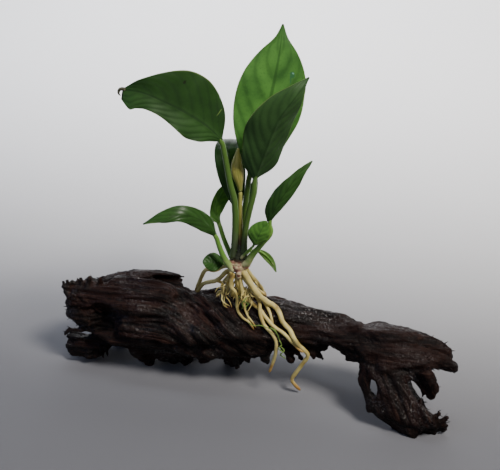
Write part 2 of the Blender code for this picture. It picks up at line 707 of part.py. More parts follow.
def tube(name, points, radii, model):
    """A stalk or root: a tapering tube with closed ends, made a mesh so that it can be cut."""
    curve = bpy.data.curves.new(name + "_line", "CURVE")
    curve.dimensions = "3D"
    curve.bevel_depth = MM
    curve.bevel_resolution = 1
    curve.use_fill_caps = True
    line = curve.splines.new("POLY")
    line.points.add(len(points) - 1)
    for i, point in enumerate(points):
        line.points[i].co = (*(point * MM), 1.0)
        line.points[i].radius = along_value(radii, i / (len(points) - 1))
    route = bpy.data.objects.new(name + "_line", curve)
    model.objects.link(route)
    bpy.context.view_layer.update()
    graph = bpy.context.evaluated_depsgraph_get()
    mesh = bpy.data.meshes.new_from_object(route.evaluated_get(graph))
    bm = bmesh.new()
    bm.from_mesh(mesh)
    bmesh.ops.remove_doubles(bm, verts=bm.verts, dist=WELD)
    bmesh.ops.recalc_face_normals(bm, faces=bm.faces)
    bm.to_mesh(mesh)
    bm.free()
    strand = bpy.data.objects.new(name, mesh)
    strand.matrix_world = route.matrix_world
    model.objects.link(strand)
    bpy.data.objects.remove(route)
    bpy.data.curves.remove(curve)
    return strand


def eased(strands, tree=None):
    """Strands of (points, radii), moved clear of the wood, the floor and each other."""
    owner = np.repeat(np.arange(len(strands)), [len(points) for points, _ in strands])
    places = np.array([tuple(point) for points, _ in strands for point in points])
    radius = np.array([
        along_value(radii, i / (len(points) - 1))
        for points, radii in strands for i in range(len(points))
    ])
    first = np.r_[True, owner[1:] != owner[:-1]]
    last = np.r_[owner[1:] != owner[:-1], True]
    inner = ~(first | last)
    need = radius[:, None] + radius[None] + STRAND_GAP
    strange = owner[:, None] != owner[None]
    for turn in range(EASE_TURNS):
        if turn < EASE_TURNS - LAST_TURNS:
            middle = (np.roll(places, 1, 0) + np.roll(places, -1, 0)) / 2
            places[inner] += (middle - places)[inner] * EASE_DRAW
        apart = places[:, None] - places[None]
        far = np.maximum(np.linalg.norm(apart, axis=2), 0.01)
        clash = strange & (far < need)
        push = (np.where(clash, (need - far) / far, 0)[..., None] * apart).sum(1) / 2
        places += push / np.maximum(clash.sum(1), 1)[:, None]
        if tree:
            for k, place in enumerate(places):
                point = Vector(place) * MM
                skin, normal, _, _ = tree.find_nearest(point)
                inside = (point - skin).dot(normal) < 0
                reach = (radius[k] + WOOD_GAP) * MM
                if inside or (point - skin).length < reach:
                    out = normal if inside else (point - skin).normalized()
                    places[k] = (skin + out * reach) / MM
            places[:, 2] = np.maximum(places[:, 2], radius + FLOOR_GAP)
    return [[Vector(place) for place in places[owner == k]] for k in range(len(strands))]


def thinned(points):
    """Some of a line's points, evenly, and its last."""
    kept = points[::KEPT_POINTS]
    if (kept[-1] - points[-1]).length > LEAST_STEP:
        kept.append(points[-1])
    else:
        kept[-1] = points[-1]
    return kept


def strand_set(table, tree, parent, clearance, finish, model):
    """Stalks or roots of a table, eased clear of each other and cut off at the crown."""
    rough = []
    for route, radii in table.values():
        length = sum((Vector(b) - Vector(a)).length for a, b in zip(route, route[1:]))
        rough.append((spaced([Vector(p) for p in route], round(length / EASE_STEP)), radii))
    lines = eased(rough, tree)
    for name, line in zip(table, lines):
        strand = tube(name, thinned(line), table[name][1], model)
        strand.parent = parent
        cut(strand, clearance)
        finished(strand, finish)


def crown_of_plant(parent, model, cutters):
    """The crown that stalks and roots leave, and a wider copy that trims them."""
    bm = bmesh.new()
    for middle, half_sizes in CROWN_LUMPS:
        size = Matrix.Diagonal((*half_sizes, 1))
        place = Matrix.Scale(MM, 4) @ Matrix.Translation(middle) @ size
        bmesh.ops.create_icosphere(bm, subdivisions=2, radius=1.0, matrix=place)
    mesh = bpy.data.meshes.new("crown")
    bm.to_mesh(mesh)
    bm.free()
    crown = bpy.data.objects.new("crown", mesh)
    reskinned(crown, CROWN_VOXEL, model, CROWN_FACES)
    clearance = bpy.data.objects.new("crown_clearance", crown.data.copy())
    for v in clearance.data.vertices:
        v.co += v.normal * GAP
    helper(clearance, cutters)
    for obj in (crown, clearance):
        obj.parent = parent
    finished(crown, "crown_pink")
    return clearance


def flower_bud(parent, model):
    """The closed flower: a spindle on its own stalk."""
    points = spaced([Vector(p) for p in BUD_LINE], len(BUD_RADII) - 1)
    along = tangents(points)

    def shape(i, angle):
        side = (Vector((1, 0, 0)) - along[i] * along[i].x).normalized()
        front = along[i].cross(side)
        return (side * math.cos(angle) + front * math.sin(angle)) * BUD_RADII[i] * MM

    mesh = loft("flower_bud", [p * MM for p in points], 8, shape)
    bud = bpy.data.objects.new("flower_bud", mesh)
    model.objects.link(bud)
    bud.parent = parent
    finished(bud, "bud_tan")


def finished(obj, name):
    """Gives a piece its material, and smooth shading with its sharp corners kept."""
    obj.data.materials.clear()
    obj.data.materials.append(material(name))
    obj.data.shade_smooth()
    obj.data.set_sharp_from_angle(angle=SHARP_ANGLE)


def material(name):
    """One of the finishes, made the first time that it is asked for."""
    if name in bpy.data.materials:
        return bpy.data.materials[name]
    colour, roughness = FINISHES[name]
    made = bpy.data.materials.new(name)
    made.use_nodes = True
    shader = made.node_tree.nodes["Principled BSDF"]
    shader.inputs["Base Color"].default_value = (*colour, 1.0)
    shader.inputs["Roughness"].default_value = roughness
    shader.inputs["Metallic"].default_value = 0.0
    made.diffuse_color = (*colour, 1.0)
    return made


def main():
    for obj in list(bpy.data.objects):
        bpy.data.objects.remove(obj)
    model = bpy.data.collections.new("anubias_on_driftwood")
    cutters = bpy.data.collections.new("cutters")
    for collection in (model, cutters):
        bpy.context.scene.collection.children.link(collection)
    wood = whole_wood(model, cutters)
    tree = forked(wood, model, cutters)
    plant = bpy.data.objects.new("plant", None)
    plant.location = Vector(CROWN_PLACE) * MM
    plant.rotation_euler.z = PLANT_TURN
    model.objects.link(plant)
    bpy.context.view_layer.update()
    clearance = crown_of_plant(plant, model, cutters)
    strand_set(STALKS, None, plant, clearance, "stalk_green", model)
    strand_set(ROOTS, tree, None, clearance, "root_cream", model)
    flower_bud(plant, model)
    for name, (rib, sides, widths, shapes, finish) in BLADES.items():
        leaf = blade(name, rib, sides, widths, shapes, plant, model)
        finished(leaf, finish)
    base = bpy.data.objects.new("base", None)
    base.location = -Vector(MIDDLE) * MM
    model.objects.link(base)
    for obj in list(model.objects) + list(cutters.objects):
        if obj != base and not obj.parent:
            obj.parent = base


main()
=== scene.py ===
"""The looks of an anubias growing on driftwood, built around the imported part.

The tables are in millimetres, like the part's own: the wood and roots about a point of the floor
near the middle of the wood, the stalks and leaves about the crown. Every finished piece is in
metres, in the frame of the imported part.
"""

import functools
import math
import random

import bmesh
import bpy
import numpy as np
from mathutils import Matrix, Vector, noise
from mathutils.bvhtree import BVHTree


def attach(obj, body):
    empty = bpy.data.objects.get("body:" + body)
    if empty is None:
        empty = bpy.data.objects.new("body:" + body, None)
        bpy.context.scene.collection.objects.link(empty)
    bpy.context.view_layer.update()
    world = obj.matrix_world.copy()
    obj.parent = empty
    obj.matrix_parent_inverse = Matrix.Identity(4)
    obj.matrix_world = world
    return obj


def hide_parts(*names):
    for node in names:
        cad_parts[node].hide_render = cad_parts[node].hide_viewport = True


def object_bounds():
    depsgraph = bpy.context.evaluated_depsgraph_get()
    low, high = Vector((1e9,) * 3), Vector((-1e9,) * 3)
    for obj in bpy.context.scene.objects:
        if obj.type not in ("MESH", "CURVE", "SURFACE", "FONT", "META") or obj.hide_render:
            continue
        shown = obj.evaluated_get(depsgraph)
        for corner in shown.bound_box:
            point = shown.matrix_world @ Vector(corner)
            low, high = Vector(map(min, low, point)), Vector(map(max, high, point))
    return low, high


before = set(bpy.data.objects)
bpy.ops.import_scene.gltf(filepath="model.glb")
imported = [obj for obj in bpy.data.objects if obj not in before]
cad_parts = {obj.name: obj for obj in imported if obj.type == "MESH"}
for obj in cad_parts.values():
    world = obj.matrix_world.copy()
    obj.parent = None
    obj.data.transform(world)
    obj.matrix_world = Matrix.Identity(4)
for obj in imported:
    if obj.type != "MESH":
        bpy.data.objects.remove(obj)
cad_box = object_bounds()

MM = 0.001

# The wood's and roots' tables, then the stalks' and leaves', laid in the frame of the part.
WOOD_PLACE = Matrix.Translation(Vector((-2.1, -7.4, 0)) * MM)
CROWN_PLACE = (-4.3, 6.0, 73.9)
PLANT_TURN = math.radians(12.0)
PLANT_PLACE = (
    WOOD_PLACE @ Matrix.Translation(Vector(CROWN_PLACE) * MM) @ Matrix.Rotation(PLANT_TURN, 4, "Z")
)

# The camera: what it looks at, how far off and from where, as the photograph was taken.
CAMERA_TARGET = (-12.1, 54.6, 62.0)
CAMERA_FAR = 480.0
CAMERA_PITCH = math.radians(27.0)
CAMERA_YAW = math.radians(12.0)
LENS = 60.0

# The wood's skin, and its limbs: a broad direction, then sections of x, y, z, half the breadth
# and half the thickness.
ROUGH_VOXEL = 1.5 * MM
WOOD_VOXEL = 0.7 * MM
RING_POINTS = 48
SECTION_STEP = 3.0
FLUTE_DEPTH = 0.22
FLUTE_COUNT = 3.4
FLUTE_RUN = 0.022
LIMBS = {
    "trunk": ((0, 1, 0), [
        (-96, 14, 31, 9, 14), (-88, 14, 33, 14, 17), (-74, 14, 33, 17, 20), (-56, 14, 33, 18, 21),
        (-40, 14, 31, 18, 19), (-30, 14, 30, 18, 17), (-20, 14, 31, 18, 18), (-8, 14, 33, 17, 18),
        (6, 13, 34, 14, 15), (20, 12, 37, 12, 14), (36, 11, 36.5, 10, 12), (50, 8, 37, 9, 8.5),
        (61, 6, 37.5, 10, 8.5),
    ]),
    "knee": ((0, 1, 0), [
        (56, 7, 37, 9, 8), (66, 5, 37.5, 11, 9), (75, 3, 38, 12, 10), (85, 1, 36.5, 11, 10),
        (94, -1, 33.5, 9, 7.5), (101, -2, 32.5, 7, 6),
    ]),
    "leg": ((1, 0, 0.25), [
        (71, 3, 37, 12, 8), (73, -4, 30, 12, 7.5), (78, -10, 21, 12.5, 6.5), (84, -14, 13, 12.5, 6),
        (92, -17, 7, 12.5, 6), (97, -18, 4, 10, 5),
    ]),
    "flap": ((0.1, 0.15, 1), [
        (-80, 7, 34, 14, 5), (-90, 6, 36, 13, 4.5), (-97, 5, 37, 11.5, 4), (-101, 5, 37, 9, 3.5),
        (-103, 5, 37, 7, 2.5),
    ]),
    "low_lobe": ((0, 0.3, 1), [
        (-80, 12, 15, 7, 6), (-90, 12, 11, 9, 6), (-97, 11, 11.5, 8, 5.5), (-102, 10, 13, 6.5, 4),
    ]),
    "crest": ((0, 1, 0.2), [
        (-84, 18, 45, 6, 3), (-74, 20, 49, 8, 4), (-62, 21, 50, 8, 3.5), (-52, 22, 49, 7, 3),
        (-44, 23, 46.5, 5, 2.5),
    ]),
    "splinter": ((0, 1, 0), [
        (-66, 22, 53, 3, 1.6), (-55, 23, 52.5, 3.5, 1.6), (-46, 24, 51, 2.5, 1.4),
        (-39, 24, 49.5, 1.5, 1),
    ]),
    "shoulder": ((0, 1, 0), [
        (-30, 12, 36, 9, 8), (-20, 14, 41, 10, 8), (-9, 14, 41, 10, 8), (2, 8, 35, 9, 8),
        (12, 5, 29, 7, 6),
    ]),
    "knuckle": ((0, 1, 0), [
        (10, 15, 40, 7, 6), (20, 15, 42, 8, 7), (32, 13, 41, 7, 6), (44, 11, 38, 5, 5),
    ]),
    "brow": ((0, 1, 0), [
        (62, 8, 41, 6, 4), (74, 7, 42.5, 8, 4), (86, 4, 40.5, 8, 4), (96, 1, 36, 6, 3.5),
        (103, 0, 33, 4, 3.5),
    ]),
}

# Stubs, feet and broken ends of the wood: start, end, and the radius at each.
SNAGS = [
    ((-98, 5, 42), (-103, 6, 50), 2.8, 1.2), ((-102, 6, 47), (-106, 6, 50), 1.4, 0.8),
    ((-95, 6, 42), (-99, 6, 51), 2.6, 0.9), ((-91, 7, 43), (-94, 8, 53), 2.8, 0.9),
    ((-86, 9, 46), (-89, 11, 55), 3.0, 1.0), ((-80, 13, 48), (-84, 15, 55), 3.0, 1.0),
    ((-98, 4, 31), (-103, 4, 27), 3.6, 2.0), ((-96, 8, 16), (-104, 8, 21), 3.4, 1.2),
    ((-96, 9, 10), (-105, 9, 8), 4.2, 1.8), ((-92, 13, 9), (-93, 13, -2), 7.0, 3.4),
    ((-84, 11, 12), (-84, 10, 5), 2.2, 0.9), ((-74, 23, 18), (-81, 28, -2), 11.0, 3.6),
    ((-86, 24, 20), (-89, 27, 9), 8.0, 3.0), ((-68, 12, 18), (-68, 11, 11), 6.0, 3.0),
    ((-61, 12, 16), (-59, 10, -2), 8.0, 3.4), ((-47, 14, 14), (-46, 15, -2), 9.0, 5.0),
    ((-36, 14, 14), (-37, 14, 1), 7.0, 3.0), ((-14, 17, 16), (-12, 18, -2), 8.0, 3.4),
    ((-24, 14, 16), (-24, 12, 8), 6.0, 3.0), ((-2, 12, 20), (0, 9, 13), 6.0, 3.0),
    ((-38, 27, 18), (-33, 31, -2), 11.0, 3.0), ((-56, 26, 18), (-52, 30, 8), 9.0, 3.0),
    ((8, 10, 26), (11, 5, 18), 5.0, 2.0), ((20, 8, 31), (25, 3, 19), 5.0, 1.8),
    ((28, 8, 31), (37, 3, 23), 4.6, 1.6), ((33, 8, 32), (44, 4, 28), 4.6, 1.8),
    ((56, 5, 33), (60, 0, 31), 4.5, 3.0), ((61, 0, 34), (63, -10, 23), 3.6, 3.0),
    ((63, -9, 24), (71, -14, 11), 3.2, 4.0), ((97, 0, 36), (105, 0, 40), 3.4, 1.6),
    ((98, -1, 33), (106, -3, 36), 4.2, 2.4), ((102, -2, 35), (110, -4, 32), 3.6, 1.2),
    ((82, -4, 30), (92, -11, 28), 5.0, 3.2), ((91, -11, 28), (99, -13, 22), 3.2, 2.8),
    ((98, -13, 24), (98, -13, 17), 3.0, 1.8), ((98, -16, 7), (109, -16, 8), 4.0, 1.0),
    ((96, -17, 4), (107, -14, 3), 4.6, 1.8), ((90, -17, 4), (91, -18, -2), 5.0, 4.0),
    ((98, -17, 3), (100, -16, -2), 5.0, 4.0),
]

# Hollows in the wood: middle, half sizes, and the turn about X, Y and Z in degrees.
HOLLOWS = {
    "cavity": ((-79, -6, 34), (13, 12, 12), (0, -20, 0)),
    "end_hollow": ((-101, 18, 35), (13, 6, 10), (0, 0, 12)),
    "notch": ((-99, 12, 18.7), (9.5, 32, 4.9), (-27, 4, -12)),
    "lobe_notch": ((-105, 8, 13.0), (7, 18, 1.9), (-27, 0, -12)),
    "left_arch": ((-70, 4, 3), (9, 14, 9), (0, 0, 0)),
    "split": ((-36, -5, 18), (20, 5, 2.2), (0, 6, 0)),
    "leg_hole": ((70, -10, 21), (2.7, 24, 4.6), (-27, -12, -12)),
    "spur_gap": ((90, -12, 22.5), (2.8, 24, 6.4), (-27, -36, -12)),
    "jaw": ((105, -12, 31), (12, 26, 5), (-27, 8, -6)),
    "leg_bite": ((101, -14, 16.4), (8.5, 24, 3.2), (-27, 34, -12)),
    "jaw_notch": ((109.6, -2, 38.6), (5.4, 16, 1.2), (-27, 20, -12)),
    "lobe_gap": ((-78.6, 0, 11.6), (3.2, 26, 3.4), (-27, -12, -12)),
}
HOLLOW_WOBBLE = 0.16
HOLLOW_PITCH = 2.1

# The grain: where it spirals and how far, what it turns about, and the way down the leg.
SPIRAL_START, SPIRAL_END = -48.0, 14.0
SPIRAL_TURN = math.radians(-120.0)
CORE_Y, CORE_Z = 13.0, 33.0
FORK_X = 60.0
LEG_TOP = 31.0
LEG_RUN = (14, -14, -24)

# Ridges of the wood: their length along the grain, their spacing, and their height. The broad
# ones are the part's own, and the others are its finer grain.
BROAD_RIDGES = [(60, 13, 2.6), (28, 7, 1.3)]
FINE_RIDGES = [(34, 3.6, 0.9), (20, 2.2, 0.55)]
LEG_RELIEF = 0.6

# Grit on the wood: how far apart its grains are, and how high.
GRIT_PITCH = 1.7
GRIT_HEIGHT = 0.3

# Shifts that bring the wood's outline onto the photograph's: x, y and z of each, then how far it
# moves the wood along each. It fades out over the reach.
SHIFT_REACH = 9.0
OUTLINE_SHIFTS = [
    (-103.9, 5.8, 49.6, 1.8, -0.1, -0.9), (-102.9, 2.9, 41.5, 3.2, 0.2, -0.8),
    (-102.3, 1.9, 34, 3.2, 0.8, 0.3), (-101.3, 4.5, 46.6, 1.1, 0.4, 0.3),
    (-102.4, 3.6, 28.8, 1.1, 1, 1.5), (-104.7, 7.9, 9.6, 0.7, 0.1, 0),
    (-99.4, 5.2, 49.6, -0.2, 0.2, 0.5), (-103.6, 11.9, 12.1, -2.8, 0, 1.2),
    (-100.8, 4.6, 7.8, -1.3, -1.2, -1.7), (-97.9, 3.5, 28.1, -0.2, -0.3, -0.5),
    (-94.8, 6.4, 49.8, -1.4, 0.6, 1.8), (-92.6, 18.4, 50.3, 0.6, -0.4, -1),
    (-88.1, 5.8, 4.2, -0.3, -3.1, 0), (-88.9, 19.1, 49.9, -0.3, -1.5, -2.8),
    (-83.8, 6.6, 5.6, -1, 0.4, 1.2), (-81.9, 13.9, 53.8, -0.5, -1.5, -2.7),
    (-80.8, 8.9, 7.3, -0.6, 0.1, 0.5), (-80.2, 22.6, 50.2, 1.7, -0.7, -2),
    (-71.6, -3.1, 20.8, 0.2, -0.5, -1), (-77.6, 25.1, 51.9, 1.9, -1, -2.6),
    (-68.6, -0.4, 18.2, 0, 0.6, 1.1), (-73.9, 26.6, 53.4, 1, -1.2, -2.7),
    (-69.4, 27.6, 54, 0.5, -1.4, -2.9), (-62.6, 5.5, 10.1, -2.3, -1.5, -1.9),
    (-61.2, 5.9, 5.6, 1.3, 0.4, 0.3), (-64.1, 27.4, 54.3, -0.5, -1.6, -2.9),
    (-58.9, 7, 1.2, 0.4, 5.1, 0), (-59.6, 26.2, 54, -0.1, -0.8, -1.5), (-56.2, 10.4, 1.1, 1.4, -0.7, 0),
    (-55.1, 25.9, 53.8, 0, -1.2, -2.2), (-50.4, 25.9, 53.2, -0.5, -1.2, -2),
    (-46.8, 9.6, 1.1, 1.2, 5.3, 0), (-46.4, 25.6, 52.6, -0.6, -0.7, -1.2),
    (-42.6, 10.3, 1.4, -0.8, 4.2, 0), (-41.6, 25.1, 51.3, -0.1, -0.4, -0.7),
    (-38.2, 10.4, 1.1, 0.1, 2.3, 0), (-38.2, 22.5, 49.5, -3.2, -0.7, 0), (-34.6, 13.6, 1.1, -1, 2.6, 0),
    (-28.1, -0.1, 17.2, 3.2, 0.4, -0.6), (-25.9, 9.3, 10.1, -1, -1, -1.5),
    (-16.2, 13.2, 2.6, 2, 5.4, 0), (-12.3, 13.9, 1.8, 0.5, 4.7, 0), (-8.7, 14.6, 4.1, 1.1, -2.3, 0),
    (-6.7, 17.2, 7.9, 3.1, 0.1, -1.1), (0.2, 7.5, 15.7, 0.7, -0.8, -1.9),
    (5.6, 1, 24.2, 0.2, -1.1, -2.1), (8.6, 3.6, 18.4, -0.7, -0.3, -0.3),
    (11.8, 4.1, 18.3, 0.9, -0.2, -0.8), (13.1, 2.6, 25.1, 1.7, -0.1, -0.9),
    (17.5, 3.7, 27.4, -0.4, 1.4, 2.8), (21.4, 2.9, 24.6, -1.3, -0.7, -0.8),
    (22.7, 1.7, 19.9, 2.9, 1, 0.8), (25.2, 4, 23.6, -0.8, -0.1, 0), (25.9, 1.7, 19.1, -1.7, 0.9, 2.5),
    (29.8, 4.4, 27.4, 0.9, 1.2, 1.9), (33, 2.2, 25.5, 1.3, 0.9, 1.3), (36.3, 2.2, 23.7, -0.7, 0.8, 1.7),
    (33.4, 13.2, 47.4, 0.1, 0.3, 0.5), (37.3, 3.9, 26.6, 1.7, -0.9, -2.5),
    (37.9, 12.1, 47.4, 0.2, 0.5, 0.8), (42.4, 2.8, 28.1, 0, 1.4, 2.8),
    (42.3, 13.2, 45.9, 0.2, 0.4, 0.7), (45.4, 3.1, 30.9, -1.6, 0.9, 2.3),
    (46.1, 12.1, 45.8, 0.1, 0.6, 1.1), (49.9, 2.3, 32.4, 0, -0.7, -1.5),
    (50.6, 13.1, 45.2, 0.1, 0.5, 0.8), (54.7, 0.7, 32.2, -1.9, -1.4, -1.9),
    (54.4, 13.1, 44.6, 0, -0.3, -0.5), (61.1, -7.1, 28.1, 1.2, 0.2, -0.1),
    (58.9, 13.1, 44.1, -0.5, -1.3, -2.2), (69.7, -16.5, 12.7, -0.2, -1.4, -2.6),
    (67.1, 11.6, 44.5, 0, 0.3, 0.7), (73.4, -15.9, 8.9, -1.9, -1, -1.2),
    (75.7, -17.3, 6.4, -1.1, -0.5, -0.6), (78.4, -18.3, 3.4, 0.9, 1.9, 0),
    (74.6, 12.2, 44.3, -0.1, -0.3, -0.5), (81.7, -19.6, 1.4, 0.7, 2.7, 0),
    (85.2, -22.7, 1.9, 0.4, 2.6, 0), (82.9, 8.6, 44.4, 0.2, 0.3, 0.5), (88.8, -24.1, 1.1, 0.7, 3.1, 0),
    (87.7, -10.1, 20.2, 1.4, 0.8, 0.9), (87.2, 7.7, 43.5, 0.3, 0.5, 0.8),
    (91.9, -23.5, 0.4, -0.2, 1.9, 0), (90.1, 6.2, 42.8, 0.9, 1, 1.5), (94.1, 4.1, 41.7, 1, 1.2, 2),
    (100.1, -20.8, 0.4, 0.3, 4.7, 0), (96.5, -1.8, 27.3, -0.6, -0.1, 0.1),
    (98.8, -15.4, 17, -2.7, -0.9, -0.7), (97.5, 4.6, 39, 1.1, 1.2, 1.8),
    (100.6, -18.4, 12.9, -0.5, -0.2, -0.1), (100.9, 1.1, 38.7, 1.1, 1.5, 2.4),
    (105.3, -16.2, 8.5, 0.1, -0.5, -1), (103.7, -4.5, 33.7, -0.3, -1, -1.8),
    (108.4, -4.3, 32.6, -0.2, -0.4, -0.6),
]

# Thin torn pieces on the wood, each with a broad direction, then sections of x, y, z, half the
# breadth and half the thickness.
SHARDS = {
    "forked_rib": ((0, 1, 0.3), [
        (-84, 5, 34, 2.4, 1.4), (-90, 4, 37, 2.2, 1.4), (-96, 3.6, 42, 1.9, 1.4),
        (-100, 4, 48, 1.6, 1.2), (-101.6, 4.6, 53, 0.8, 0.7),
    ]),
    "second_rib": ((0, 1, 0.3), [
        (-80, 5, 37, 2.2, 1.3), (-86, 4, 41, 2.0, 1.3), (-91, 4, 46, 1.7, 1.2),
        (-93, 5, 50, 1.2, 1.0),
    ]),
    "prong": ((0, 1, 0), [(-98.6, 4.4, 46, 1.5, 1.1), (-99, 5, 53.6, 0.7, 0.6)]),
    "spike_one": ((0, 1, 0), [(-96, 7, 46, 2.0, 1.5), (-97.2, 7, 53, 0.7, 0.6)]),
    "spike_two": ((0, 1, 0), [(-91, 7, 46.5, 2.4, 1.6), (-92.2, 7.5, 55, 0.8, 0.7)]),
    "spike_three": ((0, 1, 0), [
        (-89, 8, 46, 4.6, 2.2), (-88, 8, 51, 3.4, 1.7), (-87, 8, 55.6, 0.8, 0.7),
    ]),
    "spike_four": ((0, 1, 0), [(-83, 9, 47, 5, 2), (-81.6, 9, 54.6, 0.8, 0.6)]),
    "finger": ((0, 0.3, 1), [
        (-88, 4, 25.5, 1.8, 1.5), (-95, 2, 23.8, 1.2, 1.0), (-99.5, 2, 23.6, 1.0, 0.8),
        (-102.4, 2, 20.4, 0.8, 0.7),
    ]),
    "lobe_spike": ((0, 1, 0), [(-96, 8, 9.4, 2.8, 2.0), (-104.6, 6, 10.0, 0.9, 0.8)]),
    "lobe_hook": ((0, 1, 0), [(-98, 9, 12.4, 2.4, 1.6), (-104.6, 8.5, 14.8, 0.9, 0.8)]),
    "twig_one": ((0, 1, 0), [(-83.4, 5, 14, 1.5, 1.3), (-82, 4, 5.5, 0.6, 0.6)]),
    "twig_two": ((0, 1, 0), [(-80.6, 5, 14, 1.4, 1.2), (-79, 4, 6.5, 0.6, 0.6)]),
    "plank": ((0.1, 1, -0.35), [
        (-84, 21, 45, 5, 3), (-73, 22, 48.6, 6.5, 3.6), (-64, 23, 50.8, 6.5, 3.0),
        (-56, 24, 52.2, 4.6, 1.6), (-48, 24, 52.8, 2.8, 0.9), (-39, 24, 52.2, 0.8, 0.6),
    ]),
    "spur": ((1, 0, 0.3), [
        (93, -12, 35, 4.0, 3), (96.6, -14, 30, 3.0, 2.6), (98.6, -14, 25.4, 2.7, 2.2),
        (97.2, -14, 20.4, 1.6, 1.4),
    ]),
    "jaw_tooth": ((0, 1, 0), [
        (96, -2, 36.5, 4, 2.6), (103, -3, 34.4, 3, 2.6), (107.6, -3, 33, 2.4, 2.8),
        (109.2, -3, 31, 1.2, 1.6),
    ]),
    "jaw_upper": ((0, 1, 0.2), [
        (78, 6, 43.5, 5, 2), (86, 4, 43.6, 5, 2), (93, 2, 43.4, 4, 2), (100, 1, 41.6, 3, 2),
        (104.6, 0, 39.6, 1.8, 1.5), (106, 0, 36.6, 0.9, 0.8),
    ]),
    "foot_tooth": ((0, 1, 0), [(99, -16, 7, 2.6, 2), (102.6, -16, 13.8, 0.8, 0.7)]),
    "foot_hook": ((0, 1, 0), [(101, -16, 5.5, 2.6, 2), (107, -16, 12, 0.8, 0.7)]),
    "under_one": ((0, 1, 0), [(25, 7, 29, 2.8, 2.2), (30.4, 6, 19.4, 0.9, 0.8)]),
    "under_two": ((0, 1, 0), [(33, 7, 31, 3, 2.2), (41.6, 6, 21.4, 0.9, 0.8)]),
    "under_three": ((0, 1, 0), [(-9, 8, 22, 3.4, 2.6), (-5, 6, 8.6, 1.0, 0.9)]),
    "under_four": ((0, 1, 0), [(5, 8, 24, 3, 2.4), (12, 6, 14.6, 0.9, 0.8)]),
}

# Splinters of torn grain: how many, their lengths, their radius at the root and its share at the
# point, and how deep they are rooted.
SPLINTERS = 460
SPLINTER_LENGTHS = (0.8, 2.8)
SPLINTER_RADIUS = 0.46
SPLINTER_POINT = 0.15
SPLINTER_ROOT = 0.6

# Where they stand: past both torn ends, on the crest of the left one, and on a share of the low
# underside, where the skin faces down by this much, but not in the band next to the floor. Those
# away from the ends are shorter.
TORN_ENDS = (-88, 92)
CREST_END = -76
CREST_FACING = 0.8
UNDER_TOP = 30
UNDER_FACING = -0.35
UNDER_SHARE = 0.35
FLOOR_BAND = 3
SHORTER = 0.6

# How much of a splinter's heading is the grain's, the skin's own, and chance.
HEADING_SHARES = (0.9, 0.8, 0.35)

# Each blade: its midrib from the stalk to the tip, and the directions its left and right halves
# spread in.
BLADES = {
    "leaf_tall": ([
        (5.8, 2.2, 48), (10.6, 4, 65.5), (16, 8, 86.5), (19.6, 12, 104.5), (21.3, 16, 118),
    ], ((-1, -0.12, 0.2), (1, -0.12, -0.2))),
    "leaf_front": ([
        (8.3, -4.6, 49), (12.4, -9, 63), (18.6, -13, 80.9), (26.6, -13, 92.7), (32.4, -9, 100.0),
    ], ((-1, -0.1, 0.35), (0.75, 0.4, -0.45))),
    "leaf_broad": ([
        (-7.4, -3.4, 68.2), (-14.2, -6, 76.1), (-23.8, -10, 84.2), (-34.1, -13, 90.8),
        (-43.4, -12, 94.4), (-50.9, -9.8, 94.7),
    ], ((-0.05, -0.5, -0.85), (0.1, 0.05, 1))),
    "leaf_back": ([
        (0.5, 6.2, 26.6), (-2.3, 9, 42.6), (-4.2, 13, 55.9), (-4.4, 22, 58.8), (-3.2, 34, 54.3),
    ], ((-1, 0, 0), (1, 0.1, 0))),
    "leaf_small_upright": ([
        (-9.5, 5.6, 20.4), (-11.2, 8, 26), (-8.8, 11, 33), (-3, 15, 38),
    ], ((-0.8, -0.3, 0.5), (0.8, 0.1, -0.5))),
    "leaf_left_lance": ([
        (-11, -3.8, 18.6), (-14.8, -7.6, 25.3), (-20.4, -12, 32), (-27, -15, 34.8),
        (-35, -16.8, 33.4), (-44.8, -16, 30.6),
    ], ((-0.3, -0.6, -0.6), (0.4, 0.5, 0.8))),
    "leaf_right_lance": ([
        (15.2, -6.5, 27.4), (19.1, -8, 36.9), (24.2, -8, 45.3), (29.8, -6, 53.2), (35.6, -3, 57.6),
    ], ((-0.75, 0.1, 0.65), (0.75, -0.3, -0.6))),
    "leaf_oval": ([
        (8.5, -9.4, 16.2), (10.5, -11, 22.7), (13.9, -10, 29.4),
    ], ((-0.9, 0, 0.3), (0.9, -0.1, -0.3))),
    "leaf_drooping": ([
        (10, 6.3, 4.6), (13.9, 8, 0.9), (17.6, 8, -3.8), (19.6, 6, -8.1),
    ], ((-0.5, -0.4, -0.5), (0.5, 0.3, 0.6))),
    "leaf_round": ([
        (-7.9, 1.9, -0.6), (-12.2, 0, 1), (-18, -1, 1.7),
    ], ((0, -0.6, -0.8), (0, 0.4, 0.9))),
    "leaf_inner": ([
        (5.4, 5.4, 27), (6.6, 7.4, 34.8), (9.6, 9.6, 45),
    ], ((-1, 0, 0.2), (1, 0, -0.2))),
}

